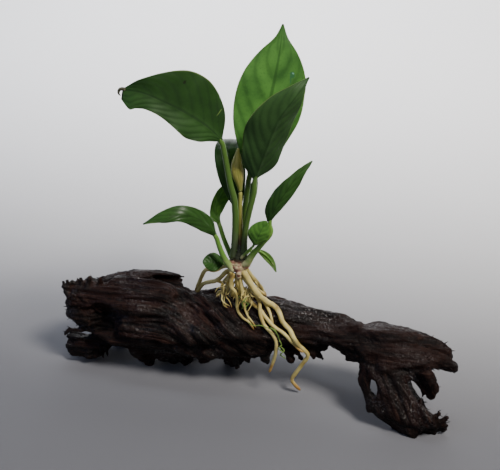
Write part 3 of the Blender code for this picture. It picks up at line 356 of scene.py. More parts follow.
# Half widths measured along the bigger blades, from the stalk to the tip: left, then right.
HALF_WIDTHS = {
    "leaf_tall": (
        (0.8, 3.9, 8.7, 12.2, 14.7, 16.1, 16.7, 16.4, 15.0, 12.2, 8.2, 2.9, 0.2),
        (0.8, 6.3, 9.9, 12.2, 14.1, 15.7, 16.1, 15.7, 15.0, 12.5, 8.5, 3.2, 0.2),
    ),
    "leaf_front": (
        (0.9, 6.0, 8.9, 10.2, 11.2, 12.0, 12.2, 11.4, 9.6, 7.6, 5.5, 3.0, 0.2),
        (0.8, 6.2, 8.6, 9.0, 9.1, 8.9, 8.6, 8.4, 7.8, 6.4, 4.3, 1.8, 0.2),
    ),
    "leaf_broad": (
        (0.8, 4.4, 7.8, 9.5, 10.5, 9.8, 8.6, 7.4, 6.6, 6.6, 7.6, 8.6, 4.5),
        (0.8, 6.4, 11.6, 15.3, 17.3, 18.5, 18.5, 17.3, 14.8, 11.2, 7.0, 3.2, 0.3),
    ),
    "leaf_left_lance": (
        (0.8, 2.0, 3.2, 4.0, 4.2, 4.2, 3.9, 3.3, 2.6, 1.8, 1.0, 0.5, 0.2),
        (1.0, 3.0, 4.6, 4.9, 4.8, 4.6, 4.6, 4.7, 4.7, 4.3, 3.4, 1.9, 0.2),
    ),
    "leaf_right_lance": (
        (0.8, 3.5, 4.5, 4.9, 4.9, 4.9, 4.5, 4.0, 2.9, 1.9, 1.3, 0.8, 0.2),
        (0.8, 1.4, 2.2, 2.9, 3.3, 3.6, 3.7, 3.6, 3.5, 3.0, 2.3, 1.4, 0.2),
    ),
    "leaf_small_upright": (
        (0.8, 2.4, 3.2, 3.2, 3.1, 3.1, 3.1, 2.9, 3.0, 2.9, 2.7, 1.8, 0.2),
        (0.8, 1.2, 2.4, 3.4, 4.0, 4.5, 4.8, 5.0, 5.0, 4.7, 3.9, 2.4, 0.2),
    ),
}

# The outlines of the others: their greatest half widths, left and right, their fullness and their
# bluntness. They start and end this wide.
OUTLINES = {
    "leaf_back": ((7.5, 7), 0.95, 0.8),
    "leaf_oval": ((5.5, 5), 0.95, 0.7),
    "leaf_drooping": ((2, 2), 0.9, 0.8),
    "leaf_round": ((4.6, 5), 1.0, 0.6),
    "leaf_inner": ((2.4, 2.6), 0.9, 0.9),
}
BASE_WIDTH = 0.8
TIP_WIDTH = 0.3

# How each blade is finished: its skin, its greatest half width, how far its halves cup, the height
# and count of the waves along its edge, and how many veins leave each side of its midrib. Then how
# fine its faces are, how far its right edge's waves lag, and how high and often it is uneven.
BLADE_FINISH = {
    "leaf_tall": ("tall", 18.0, 1.2, 0.5, 3, 6),
    "leaf_front": ("front", 14.5, 1.6, 0.5, 3, 8),
    "leaf_broad": ("broad", 17.6, 1.2, 0.5, 4, 8),
    "leaf_back": ("lance", 7.5, 0.8, 0.3, 2, 6),
    "leaf_small_upright": ("young", 5, 0.6, 0.2, 2, 5),
    "leaf_left_lance": ("lance", 5.2, 1.0, 0.35, 3, 6),
    "leaf_right_lance": ("lance", 5.6, 1.0, 0.4, 3, 6),
    "leaf_oval": ("young", 5.5, 0.7, 0.2, 2, 5),
    "leaf_drooping": ("lance", 2, 0.3, 0.2, 2, 5),
    "leaf_round": ("lance", 5, 0.6, 0.2, 2, 5),
    "leaf_inner": ("front", 2.6, 0.3, 0.1, 1, 5),
}
FACE_SIZE = 0.8
EDGE_LAG = 0.3
UNEVEN_HEIGHT = 0.5
UNEVEN_COUNT = (1.5, 4)
BLADE_THICKNESS = 0.45

# Veins sweep forward as a power of the way out, and are deepest on blades of the full width. They
# fade out over the shares next to the midrib and to the edge. The midrib's groove is deepest at
# the stalk.
VEIN_SWEEP = 0.34
VEIN_CURVE = 1.35
VEIN_DEPTH = 0.09
FULL_WIDTH = 14.0
VEIN_START = 0.3
VEIN_END = 0.8
RIB_DEPTH = 0.45
RIB_WIDTH = 1.1
RIB_FADE = 0.7

# The dried end of the broad leaf, curled back under it.
CURLED_TIP = [
    (-49.6, -10, 94.6), (-51.6, -9.8, 95), (-52.7, -9.8, 94.2), (-52.8, -9.8, 92.6),
    (-51.9, -9.8, 91.8),
]
CURLED_RADII = (0.9, 0.8, 0.6, 0.35)

# A stalk runs on under its blade as the midrib: how far, how deep it lies, its radii there, and
# how finely both are read.
RIB_REACH = 0.8
RIB_SINK = 0.45
RIB_RADII = (0.95, 0.75, 0.6, 0.5, 0.4, 0.3)
RIB_STEPS = 20
STALK_STEPS = 24

# Stalks, from the crown to the blade, with the radii along them.
STALKS = {
    "stalk_broad": ([
        (-1.2, -1, 5), (-0.9, -2, 20), (-1.4, -3, 36), (-3.3, -3.6, 45), (-5.4, -3.6, 58),
        (-7.1, -3.3, 67.7),
    ], (1.7, 1.7, 1.7, 1.6, 1.4, 1.3)),
    "stalk_tall": ([
        (1.6, 2.6, 5), (2.5, 2.4, 20), (3.8, 2.4, 32), (5, 2.2, 42), (5.7, 2.2, 47.5),
    ], (1.5, 1.5, 1.4, 1.3)),
    "stalk_front": ([
        (2.6, -2, 5), (3.2, -3, 15), (4.4, -4, 25), (6.2, -4.8, 34), (8, -5, 42), (8.2, -4.7, 48.4),
    ], (1.6, 1.5, 1.5, 1.4, 1.3)),
    "stalk_back": ([(-1.6, 3.5, 4), (-0.8, 5, 16.9), (0.4, 6, 26)], (1.2, 1.1, 1.0)),
    "stalk_inner": ([(1.4, 5, 4), (3.8, 6, 15.7), (5.3, 5.3, 26.4)], (1.0, 0.9, 0.8)),
    "stalk_left_lance": ([
        (-2.4, -1.8, -2.5), (-6.4, -2.8, 4), (-9, -3.4, 11), (-10.8, -3.6, 18),
    ], (1.8, 1.5, 1.3, 1.2)),
    "stalk_small_upright": ([
        (-2.4, 1.6, 0.6), (-5.2, 2.8, 7.5), (-7.6, 4, 14), (-9.3, 5.3, 19.8),
    ], (1.4, 1.2, 1.1)),
    "stalk_right_lance": ([
        (3, -1.8, 0.8), (6.6, -4, 6.8), (12, -7, 15.2), (15.9, -8, 20.7), (16.4, -7.4, 23.7),
        (15.2, -6.4, 26.8),
    ], (2.1, 1.8, 1.4, 1.2, 1.1, 1.0)),
    "stalk_oval": ([(2.1, -3, 5.6), (4.6, -6.4, 10.6), (8.2, -9.2, 15.6)], (0.8, 0.6, 0.6)),
    "stalk_drooping": ([(2, 3, 0.8), (5.6, 5.4, 4.4), (9.5, 6.2, 5)], (0.8, 0.6, 0.6)),
    "stalk_round": ([(-2.6, 1.4, -1.7), (-5.4, 2, -1.4), (-7.4, 2, -0.7)], (0.9, 0.8, 0.7)),
    "stalk_flower": ([(0.8, -1, 5), (1, -1.2, 22.7), (1.4, -1, 41.4)], (1.7, 1.5, 1.1, 1.0)),
}
SIDE_STALKS = {
    "stalk_left_lance", "stalk_small_upright", "stalk_right_lance", "stalk_oval",
    "stalk_drooping", "stalk_round",
}

# Roots, from the crown down over the wood, with the radii along them.
ROOTS = {
    "root_long": ([
        (-2.0, 5, 71.6), (2.3, 4, 65), (5.9, 4, 59.1), (11.2, 7, 52.4), (14.6, 8, 50),
        (17.5, 6, 47.8), (20.1, 3.4, 44.1), (23.7, 1.6, 41), (26.2, -0.7, 38.1), (29.2, 0.8, 31.9),
        (33.2, 1.5, 27.7), (33.4, 1.8, 24.6), (30, 2, 18.1), (25.8, 2.3, 9.8), (26.3, 2.3, 6.9),
        (30.2, 3, 1.8),
    ], (1.55, 1.5, 1.4, 1.25, 1.15, 1.1, 0.9)),
    "root_second": ([
        (-4, 5.5, 70), (-2.5, 5, 60.9), (-1, 4.5, 56.7), (3.1, 6, 51.6), (6.3, 6.5, 48.4),
        (9.7, 4.3, 45.5), (13.7, 2.4, 42.9), (17.2, 0.9, 40.9), (22.5, -0.7, 38.5),
        (27.8, 0.6, 31.6), (31.6, 0.2, 28.8),
    ], (1.1, 1.1, 1.05, 0.95, 0.7)),
    "root_hanging": ([
        (-2.9, 7, 68.1), (3.3, 5, 60.7), (6.4, 6.5, 53.5), (7.4, 5.5, 50.3), (8.3, 4, 45),
        (10.2, 1.6, 42), (14.4, -1, 39.4), (17.3, -2.8, 36.2), (17.5, -2.8, 30.5), (16.6, -2.2, 24),
        (14, -2, 14.7),
    ], (1.1, 1.0, 0.95, 0.9, 0.95, 0.8)),
    "root_slant": ([
        (-1.7, 9, 67.1), (4.9, 7, 57.9), (9.2, 8.5, 51), (12.4, 5.7, 47.4), (14, 3.4, 44.3),
        (14.6, 2.3, 41.2),
    ], (1.0, 0.9, 0.85, 0.6)),
    "root_short_left": ([
        (-7, 3, 70), (-7.3, 3, 65.3), (-7.4, 5, 58.5), (-8, 8, 53),
    ], (1.15, 1.1, 0.9)),
    "root_front": ([
        (-7, 3, 69), (-7.4, 2.5, 62.7), (-5.3, 3, 59.1), (-4.8, 5, 53.3), (-5, 5, 49.6),
        (-3.3, 1.9, 47.6), (-0.4, 0.8, 44.9), (2.5, 0.9, 42.8), (5.3, 0.1, 38.9),
    ], (1.0, 0.85, 0.75, 0.5)),
    "root_thin": ([
        (-4.3, 6, 61.1), (-3.3, 8, 52.6), (-1.2, 6, 48.2), (1.2, 3.2, 45.4), (4.2, 1, 43.3),
        (6.3, 0.3, 40.3),
    ], (0.7, 0.6, 0.35)),
    "root_left_low": ([
        (-7, 6, 70), (-10.4, 6, 68.6), (-15.8, 9, 61.7), (-20.6, 11, 58.6), (-25.7, 14, 55),
        (-30.2, 17, 47.7),
    ], (1.2, 1.2, 1.1, 1.0)),
    "root_left_high": ([
        (-7, 8, 71), (-12, 9, 70.2), (-17.4, 9.5, 67), (-22.2, 10, 66.4), (-25.5, 12, 60.7),
        (-27.9, 15, 53.8), (-30.7, 18, 46.8),
    ], (1.1, 1.1, 1.1, 0.9)),
    "root_left_branch": ([(-17.9, 10, 60.1), (-14.7, 11, 59), (-13.9, 13, 54.9)], (0.9, 0.8, 0.7)),
    "root_curled": ([
        (-8.5, 5, 66), (-9.8, 6, 63.4), (-11.5, 8.5, 55.2), (-15.1, 11, 53.5), (-17, 11.5, 51.4),
        (-16.6, 10.5, 49.8),
    ], (0.8, 0.85, 0.6)),
    "root_middle": ([
        (-5, 5, 68.6), (-3.6, 5.5, 61.5), (-1.7, 7, 57.2), (1, 10, 53),
    ], (1.1, 1.0, 0.8)),
    "root_right": ([(-1.5, 7.5, 70), (0.5, 9, 62), (4, 13, 56), (8, 16, 51)], (1.3, 1.2, 0.9)),
    "root_back_right": ([
        (-4, 14, 70), (-1, 18, 62), (2, 22, 55), (4, 26, 49), (6, 29, 42),
    ], (1.4, 1.3, 1.0)),
    "root_back_left": ([
        (-7, 15, 70), (-11, 19, 61), (-15, 23, 54), (-18, 28, 48), (-20, 32, 40),
    ], (1.3, 1.2, 1.0)),
    "root_back": ([(-5.5, 17, 69), (-6, 20, 60), (-7, 24, 53)], (1.2, 1.0, 0.8)),
}

# Strands are eased apart in steps this long, this many times, to stay this far apart. Until the
# last turns each point's move is also evened out with its neighbours', by this share of the way.
EASE_STEP = 1.5
EASE_TURNS = 12
LAST_TURNS = 2
EASE_DRAW = 0.5
STRAND_GAP = -0.3
WOOD_GAP = -0.3
FLOOR_GAP = 0.1
READ_STEP = 0.5

# How finely strands are made, the way that their rings are turned by, which none of them runs in,
# how uneven they are and over what, and how their free ends are rounded.
STRAND_RING = 14
STRAND_STEP = 0.9
STRAND_SIDE = (0.3, 0.9, 0.2)
ROOT_WOBBLE = 0.12
STALK_WOBBLE = 0.03
WOBBLE_GAIN = 1.6
WOBBLE_ROUND = 0.6
WOBBLE_ALONG = 0.35
WOBBLE_SEED = 9.1
TIP_RUN = 2.0
TIP_LEAST = 0.04

# Curly rootlets under the crown: the box that they start in, how many, their lengths and radii,
# how they taper, the ways that they set out to the sides and down the front, and how they sway,
# curl and sink.
ROOTLET_BOX = ((-13, 3, 55), (4, 12, 64))
ROOTLETS = 46
ROOTLET_LENGTHS = (5, 14)
ROOTLET_RADII = (0.2, 0.45)
ROOTLET_TAPER = (1, 0.9, 0.5)
ROOTLET_SWING = (-0.6, 0.8)
ROOTLET_FALL = (-0.5, -0.8)
ROOTLET_SWAY = (1, 1, 0.7)
ROOTLET_CURL = 0.36
ROOTLET_SINK = (0, 0, -0.12)

# Threads of green moss caught on the roots, and the hairs that stand out of them.
MOSS_THREADS = [
    [(2.8, 0, 43.1), (5.5, -1, 42.2), (8.6, -1.5, 43.3), (13, -2, 42.7), (17, -2.5, 41.7)],
    [(14.4, -2.5, 43.3), (17.4, -3, 41.7), (19.6, -3.5, 36.7), (20.7, -3.5, 34.1)],
    [(20.7, -3.5, 34.1), (19, -4, 32), (21.6, -4, 30.2), (19.8, -4, 28.4), (22.4, -4, 27)],
    [(20.2, -3.5, 33), (22.2, -4, 31), (20, -4, 28.6), (22.8, -4, 26.4)],
    [(-3, 2, 57), (0, 1, 55), (2, 2, 53), (-1, 1, 51)],
    [(1, 2, 57), (-1, 0, 54), (1, 1, 51)],
]
MOSS_RADIUS = 0.3
MOSS_TAPER = 0.7
MOSS_WOBBLE = 0.3
MOSS_STEPS = 8
MOSS_HAIRS = 3
HAIR_LENGTHS = (0.5, 1.3)
HAIR_RADII = (0.16, 0.08)
HAIR_WOBBLE = 0.1

# The crown's lumps: middle and half sizes. The sixth and seventh are the sheath of the old
# stalks, and the last is the scar, the end of the old rhizome, between the roots.
CROWN_LUMPS = [
    ((0, 0, -0.5), (4.6, 4.2, 4.0)), ((0.6, 4.5, -1.7), (3.5, 4.6, 3.2)),
    ((1.4, 8.6, -3.2), (2.9, 3.6, 2.8)), ((-3.2, -1, 0), (2.5, 2.4, 3.2)),
    ((3.4, -1.5, 1), (3.0, 2.4, 3.0)), ((1.3, -0.2, 5), (3.7, 3.4, 5.0)),
    ((1.4, -0.2, 9), (3.2, 2.8, 5.0)), ((0.3, -3.2, -4.4), (1.5, 1.6, 3.0)),
]
CROWN_VOXEL = 0.4 * MM
CROWN_RELIEF = 0.35
CROWN_PITCH = 3.1
CROWN_RINGS = 2.4

# The closed flower: its line, and its radii from the stalk to the tip. Three soft folds turn along
# it, and one sharp crease.
BUD_LINE = [(1.3, -1, 41.2), (0.7, -1, 47), (-0.1, -1, 53.2), (0.1, 0, 58), (0.4, 1, 62.5)]
BUD_RADII = (1.0, 1.3, 1.9, 2.5, 2.9, 3.0, 2.8, 2.4, 1.8, 1.1, 0.4)
BUD_STEPS = 40
BUD_RING = 28
FOLD_DEPTH = 0.05
FOLD_TURN = 4
CREASE_DEPTH = 0.10
CREASE_PLACE = 0.6
CREASE_WIDTH = 0.25

# The sweep of pale card: how wide it is, where it starts, where it turns up, the radius that it
# turns up in, and how high it goes.
CARD_HALF_WIDTH = 3.0
CARD_FRONT = -3.0
CARD_TURN = 0.05
CARD_RADIUS = 0.6
CARD_TOP = 1.6
CARD_FACETS = 24

# Where the Mix node keeps its colour inputs and its colour output, and the Map Range node its
# range, and the bottom and top of what it gives.
MIX_A, MIX_B, MIXED = 6, 7, 2
LOW, HIGH, BOTTOM, TOP = 1, 2, 3, 4


def curve_at(values, i, t):
    """A Catmull-Rom curve through values, at the share t of the way from the i-th to the next."""
    a, b = values[i], values[i + 1]
    before = values[i - 1] if i else 2 * a - b
    after = values[i + 2] if i + 2 < len(values) else 2 * b - a
    return 0.5 * (
        2 * a + (b - before) * t + (2 * before - 5 * a + 4 * b - after) * t ** 2
        + (3 * a - before - 3 * b + after) * t ** 3
    )


def smooth_rows(rows, step):
    """Rows of numbers joined by a smooth curve, at about step apart by their first three."""
    rows = [Vector(row) for row in rows]
    found = [rows[0]]
    for i, (a, b) in enumerate(zip(rows, rows[1:])):
        count = max(1, round((b.to_3d() - a.to_3d()).length / step))
        found += [curve_at(rows, i, k / count) for k in range(1, count + 1)]
    return found


def spaced(points, count):
    """A smooth line through points, read at count + 1 places evenly along it."""
    line = smooth_rows(points, READ_STEP)
    run = [0.0]
    for a, b in zip(line, line[1:]):
        run.append(run[-1] + (b - a).length)
    found = []
    k = 0
    for i in range(count + 1):
        goal = run[-1] * i / count
        while k < len(run) - 2 and run[k + 1] < goal:
            k += 1
        share = (goal - run[k]) / max(run[k + 1] - run[k], 1e-6)
        found.append(line[k].lerp(line[k + 1], min(share, 1.0)))
    return found


def length_of(points):
    return sum((Vector(b) - Vector(a)).length for a, b in zip(points, points[1:]))


def along_value(values, share, smooth=False):
    """A value read off a list of values spread evenly along a piece, by straight lines or by a
    smooth curve."""
    place = share * (len(values) - 1)
    i = min(int(place), len(values) - 2)
    if smooth:
        return curve_at(values, i, place - i)
    return values[i] + (values[i + 1] - values[i]) * (place - i)


def smooth_step(low, high, value):
    share = min(max((value - low) / (high - low), 0.0), 1.0)
    return share * share * (3 - 2 * share)


def ridged(where):
    """Noise with crests: 0.45 along them, and about -0.5 in the furrows between."""
    return 0.45 - 2 * abs(noise.noise(where))


def tangents(points):
    """The direction of a chain of points at each of them."""
    last = len(points) - 1
    return [
        (points[min(i + 1, last)] - points[max(i - 1, 0)]).normalized()
        for i in range(len(points))
    ]


def loft(bm, points, sides, shape):
    """Adds a closed tube through points: shape(i, angle) gives each ring about its point. Every
    vertex keeps its angle round the tube, and how far along it lies."""
    floats = bm.verts.layers.float
    angle = floats.get("angle") or floats.new("angle")
    along = floats.get("along") or floats.new("along")
    made = bmesh.ops.create_circle(bm, segments=sides, radius=1.0)["verts"]
    for v in made:
        v[angle] = math.atan2(v.co.y, v.co.x)
    ring, edges = made, list(dict.fromkeys(e for v in made for e in v.link_edges))
    tube = list(made)
    for i, point in enumerate(points):
        if i:
            grown = bmesh.ops.extrude_edge_only(bm, edges=edges)["geom"]
            ring = [g for g in grown if isinstance(g, bmesh.types.BMVert)]
            edges = [g for g in grown if isinstance(g, bmesh.types.BMEdge) and g.is_boundary]
            tube += ring
        for v in ring:
            v.co = point + shape(i, v[angle])
            v[along] = i / (len(points) - 1)
    rims = dict.fromkeys(e for v in tube for e in v.link_edges if e.is_boundary)
    bmesh.ops.holes_fill(bm, edges=list(rims), sides=0)
    faces = dict.fromkeys(f for v in tube for f in v.link_faces)
    bmesh.ops.recalc_face_normals(bm, faces=list(faces))


def piece(name, bm, place=None):
    """An object in the scene from a bmesh, moved by place."""
    mesh = bpy.data.meshes.new(name)
    bm.to_mesh(mesh)
    bm.free()
    if place:
        mesh.transform(place)
    obj = bpy.data.objects.new(name, mesh)
    bpy.context.scene.collection.objects.link(obj)
    return obj


def baked(obj):
    """The object with its modifiers made part of its mesh."""
    bpy.context.view_layer.update()
    graph = bpy.context.evaluated_depsgraph_get()
    mesh = bpy.data.meshes.new_from_object(obj.evaluated_get(graph))
    obj.modifiers.clear()
    old, obj.data = obj.data, mesh
    bpy.data.meshes.remove(old)
    mesh.name = obj.name
    return obj


def reskinned(obj, voxel):
    """One closed skin over everything in a mesh."""
    skin = obj.modifiers.new("skin", "REMESH")
    skin.mode = "VOXEL"
    skin.voxel_size = voxel
    return baked(obj)


def changed(obj, change):
    """Changes an object's mesh by a function of its bmesh."""
    bm = bmesh.new()
    bm.from_mesh(obj.data)
    change(bm)
    bm.to_mesh(obj.data)
    bm.free()


def finished(obj, skins, stands_for):
    """Dresses a piece, keeps it in the part's own box, and hides the part's solids that it stands for.
    """
    low, high = cad_box
    for v in obj.data.vertices:
        v.co = Vector(min(max(c, a), b) for c, a, b in zip(v.co, low, high))
    for skin in skins:
        obj.data.materials.append(skin)
    obj.data.shade_smooth()
    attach(obj, "root")
    if stands_for:
        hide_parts(*stands_for)


def limbs(bm, table):
    """Adds the fluted limbs of a table: ridges run along each, and it tapers as its sections
    say."""
    for name, (broad, sections) in table.items():
        rows = [[value * MM for value in row] for row in sections]
        stations = smooth_rows(rows, SECTION_STEP * MM)
        middles = [s.to_3d() for s in stations]
        along = tangents(middles)
        seed = sum(map(ord, name))

        def shape(i, angle):
            side = (Vector(broad) - along[i] * along[i].dot(Vector(broad))).normalized()
            up = along[i].cross(side)
            where = Vector((math.cos(angle), math.sin(angle), 0)) * FLUTE_COUNT
            where.z = i * SECTION_STEP * FLUTE_RUN + seed
            swell = 1 + FLUTE_DEPTH * ridged(where)
            breadth, thickness = stations[i][3], stations[i][4]
            return swell * (side * math.cos(angle) * breadth + up * math.sin(angle) * thickness)

        loft(bm, middles, RING_POINTS, shape)


def snag(bm, start, end, wide, narrow, sides=10):
    """A tapered stub."""
    start, end = Vector(start) * MM, Vector(end) * MM
    turn = (end - start).to_track_quat("Z", "Y").to_matrix().to_4x4()
    bmesh.ops.create_cone(
        bm, cap_ends=True, segments=sides, radius1=wide * MM, radius2=narrow * MM,
        depth=(end - start).length, matrix=Matrix.Translation((start + end) / 2) @ turn,
    )


def hollow_out(wood, name, middle, half_sizes, turn):
    """Cuts a pit or a hole with a rough egg."""
    bm = bmesh.new()
    bmesh.ops.create_icosphere(bm, subdivisions=2, radius=1.0)
    for v in bm.verts:
        v.co *= 1 + HOLLOW_WOBBLE * noise.noise(v.co * HOLLOW_PITCH + Vector(middle))
    place = Matrix.Translation(Vector(middle) * MM)
    for k in (2, 0, 1):
        place @= Matrix.Rotation(math.radians(turn[k]), 4, "XYZ"[k])
    egg = piece(name, bm, place @ Matrix.Diagonal((*(s * MM for s in half_sizes), 1)))
    cut = wood.modifiers.new(name, "BOOLEAN")
    cut.operation = "DIFFERENCE"
    cut.solver = "EXACT"
    cut.object = egg
    baked(wood)
    bpy.data.objects.remove(egg)


def grain_place(point):
    """Where a point lies in the grain: along it, then across it with its spiral undone."""
    x, y, z = point / MM
    if x > FORK_X and z < LEG_TOP:
        down = Vector(LEG_RUN).normalized()
        side = down.cross(Vector((0, 1, 0))).normalized()
        offset = Vector((x, y, z))
        return Vector((offset.dot(down), offset.dot(side), offset.dot(down.cross(side))))
    turn = SPIRAL_TURN * smooth_step(SPIRAL_START, SPIRAL_END, x)
    y, z = y - CORE_Y, z - CORE_Z
    across = (y * math.cos(turn) - z * math.sin(turn), y * math.sin(turn) + z * math.cos(turn))
    return Vector((x, *across))


def relief_at(place, ridges, strength=1.0):
    """How far ridges raise the wood at a place in its grain."""
    rise = 0.0
    for along, across, relief in ridges:
        where = Vector((place.x / along, place.y / across, place.z / across))
        rise += strength * relief * ridged(where)
    return rise


def roughened(wood, ridges, grit=0.0):
    """Raises ridges that follow the grain, sinks pits between them, and adds grit."""
    outward = [v.normal.copy() for v in wood.data.vertices]
    for v, out in zip(wood.data.vertices, outward):
        strength = LEG_RELIEF if v.co.x > FORK_X * MM else 1.0
        rise = relief_at(grain_place(v.co), ridges, strength)
        rise += grit * noise.noise(v.co / MM / GRIT_PITCH)
        v.co += out * rise * MM


def shifted(wood):
    """Moves the wood's outline by the shifts, each fading out around its place."""
    points = np.zeros(3 * len(wood.data.vertices), np.float32)
    wood.data.vertices.foreach_get("co", points)
    points = points.reshape(-1, 3) / MM
    total, weight = np.zeros_like(points), np.zeros(len(points))
    for row in np.array(OUTLINE_SHIFTS, float):
        far = np.linalg.norm(points - row[:3], axis=1) / SHIFT_REACH
        share = np.clip(1 - far * far, 0, 1) ** 2
        total += share[:, None] * row[3:]
        weight += share
    points += total / np.maximum(weight, 1)[:, None]
    wood.data.vertices.foreach_set("co", (points * MM).astype(np.float32).ravel())


def without_chips(bm):
    """Drops the chips that the hollows cut loose, and keeps the one grown piece."""
    left = set(bm.verts)
    islands = []
    while left:
        reached = [left.pop()]
        for v in reached:
            near = {e.other_vert(v) for e in v.link_edges} & left
            left -= near
            reached.extend(near)
        islands.append(reached)
    islands.sort(key=len)
    chips = [v for island in islands[:-1] for v in island]
    bmesh.ops.delete(bm, geom=chips, context="VERTS")


def grain_marks(wood):
    """Keeps the grain on the mesh for its material: each point's place in it, and its height."""
    places = [grain_place(v.co) for v in wood.data.vertices]
    grain = wood.data.attributes.new("grain", "FLOAT_VECTOR", "POINT")
    grain.data.foreach_set("vector", np.array(places, np.float32).ravel())
    height = wood.data.attributes.new("height", "FLOAT", "POINT")
    height.data.foreach_set("value", [relief_at(place, FINE_RIDGES) for place in places])


def driftwood():
    """The whole piece of wood as one skin, still in its tables' frame."""
    bm = bmesh.new()
    limbs(bm, LIMBS)
    for stub in SNAGS:
        snag(bm, *stub)
    wood = reskinned(piece("driftwood", bm), ROUGH_VOXEL)
    for name, hollow in HOLLOWS.items():
        hollow_out(wood, name, *hollow)
    reskinned(wood, WOOD_VOXEL)
    roughened(wood, BROAD_RIDGES)
    shifted(wood)
    changed(wood, lambda bm: limbs(bm, SHARDS))
    reskinned(wood, WOOD_VOXEL)
    changed(wood, without_chips)
    roughened(wood, FINE_RIDGES, GRIT_HEIGHT)
    for v in wood.data.vertices:
        v.co.z = max(v.co.z, 0.0)
    grain_marks(wood)
    return wood


def torn_grain(wood):
    """Splinters that stand on the torn ends and the underside, along the grain. One that would
    reach out of the part's own box is left out."""
    bm = bmesh.new()
    chance = random.Random(7)
    verts = wood.data.vertices
    along_grain, along_normal, by_chance = HEADING_SHARES
    made = 0
    while made < SPLINTERS:
        v = verts[chance.randrange(len(verts))]
        x, y, z = v.co / MM
        torn_end = x < TORN_ENDS[0] or x > TORN_ENDS[1]
        under = v.normal.z < UNDER_FACING and z < UNDER_TOP
        crest = v.normal.z > CREST_FACING and x < CREST_END
        if not (torn_end or crest or (under and chance.random() < UNDER_SHARE)):
            continue
        if z < FLOOR_BAND:
            continue
        step = Vector((-1 if x < 0 else 1, 0, 0))
        sway = Vector([chance.uniform(-1, 1) for _ in range(3)])
        heading = (step * along_grain + v.normal * along_normal + sway * by_chance).normalized()
        reach = chance.uniform(*SPLINTER_LENGTHS) * (1.0 if torn_end else SHORTER)
        start = Vector((x, y, z)) - heading * SPLINTER_ROOT
        end = start + heading * reach
        wide = SPLINTER_RADIUS * chance.uniform(0.5, 1.0)
        if not all(a < c < b for c, a, b in zip(WOOD_PLACE @ (end * MM), *cad_box)):
            continue
        snag(bm, start, end, wide, wide * SPLINTER_POINT, sides=5)
        made += 1
    return piece("torn_grain", bm, WOOD_PLACE)


def blade_frame(along, sides):
    """The ways out to a blade's left and right at a place on its midrib, and the way it faces."""
    outs = [(Vector(s) - along * Vector(s).dot(along)).normalized() for s in sides]
    return outs, (outs[1] - outs[0]).cross(along).normalized()


def blade(name):
    """A leaf's blade: a fine grid spread from its midrib, with sunk veins and a wavy edge."""
    rib, sides = BLADES[name]
    skin, widest, cup, wave, waves, veins = BLADE_FINISH[name]
    rows = round(length_of(rib) / FACE_SIZE)
    columns = 2 * max(6, round(widest / FACE_SIZE))
    middle = spaced(rib, rows)
    along = tangents(middle)
    vein_depth = VEIN_DEPTH * min(widest / FULL_WIDTH, 1.0)
    bm = bmesh.new()
    bm.loops.layers.uv.new("blade")
    bmesh.ops.create_grid(bm, x_segments=columns, y_segments=rows, size=1.0, calc_uvs=True)
    seed = Vector((0, 0, sum(map(ord, name))))
    for v in bm.verts:
        across, share = v.co.x, min(max((v.co.y + 1) / 2, 0.0), 1.0)
        i, half, edge = round(share * rows), 0 if across < 0 else 1, abs(across)
        outs, face = blade_frame(along[i], sides)
        if name in HALF_WIDTHS:
            width = along_value(HALF_WIDTHS[name][half], share, smooth=True)
        else:
            widths, fullness, blunt = OUTLINES[name]
            bulge = max(math.sin(math.pi * share ** fullness), 0.0) ** blunt
            width = max(widths[half] * bulge, BASE_WIDTH * (1 - share) + TIP_WIDTH * share)
        out = edge * width
        uneven = Vector((across * UNEVEN_COUNT[0], share * UNEVEN_COUNT[1], 0)) + seed
        vein = math.cos(2 * math.pi * veins * (share - VEIN_SWEEP * edge ** VEIN_CURVE))
        vein = vein_depth * vein * smooth_step(0, VEIN_START, edge)
        lift = cup * (edge ** 2) * width / widest
        lift += wave * edge ** 3 * math.sin(2 * math.pi * (waves * share + EDGE_LAG * half))
        lift += UNEVEN_HEIGHT * noise.noise(uneven) * width / widest
        lift -= vein * smooth_step(1, VEIN_END, edge)
        lift -= RIB_DEPTH * math.exp(-((out / RIB_WIDTH) ** 2)) * (1 - RIB_FADE * share)
        v.co = (middle[i] + outs[half] * out - face * lift) * MM
    leaf = piece(name, bm, PLANT_PLACE)
    wall = leaf.modifiers.new("thickness", "SOLIDIFY")
    wall.thickness = BLADE_THICKNESS * MM
    wall.offset = 0.0
    wall.material_offset = 1
    wall.material_offset_rim = 1
    leaf.data.materials.append(skins["leaf_" + skin])
    leaf.data.materials.append(skins["leaf_back"])
    baked(leaf)
    finished(leaf, [], [name])


def strand(bm, points, radii, wobble, seed, sides=STRAND_RING):
    """A stalk or root: an uneven tube through points, rounded off at its free end."""
    length = length_of(points)
    count = max(4, round(length / STRAND_STEP))
    line = spaced(points, count)
    along = tangents(line)

    def shape(i, angle):
        side = along[i].cross(Vector(STRAND_SIDE)).normalized()
        front = along[i].cross(side)
        share = i / count
        left = min((1 - share) * length / TIP_RUN, 1.0)
        tip = math.sqrt(max(1 - (1 - left) ** 2, TIP_LEAST))
        where = Vector((
            math.cos(angle) * WOBBLE_ROUND, math.sin(angle) * WOBBLE_ROUND,
            i * WOBBLE_ALONG + seed * WOBBLE_SEED,
        ))
        radius = along_value(radii, share) * tip
        radius *= 1 + wobble * noise.noise(where) * WOBBLE_GAIN
        return (side * math.cos(angle) + front * math.sin(angle)) * radius * MM

    loft(bm, [p * MM for p in line], sides, shape)


def strand_piece(name, bm, place, skin, stands_for):
    """A finished piece of strands. Its UV map runs once along each, and once round it."""
    along = bm.verts.layers.float["along"]
    angle = bm.verts.layers.float["angle"]
    uv = bm.loops.layers.uv.new("run")
    for face in bm.faces:
        for loop in face.loops:
            loop[uv].uv = (loop.vert[along], loop.vert[angle] / (2 * math.pi) + 0.5)
    finished(piece(name, bm, place), [skins[skin]], stands_for)


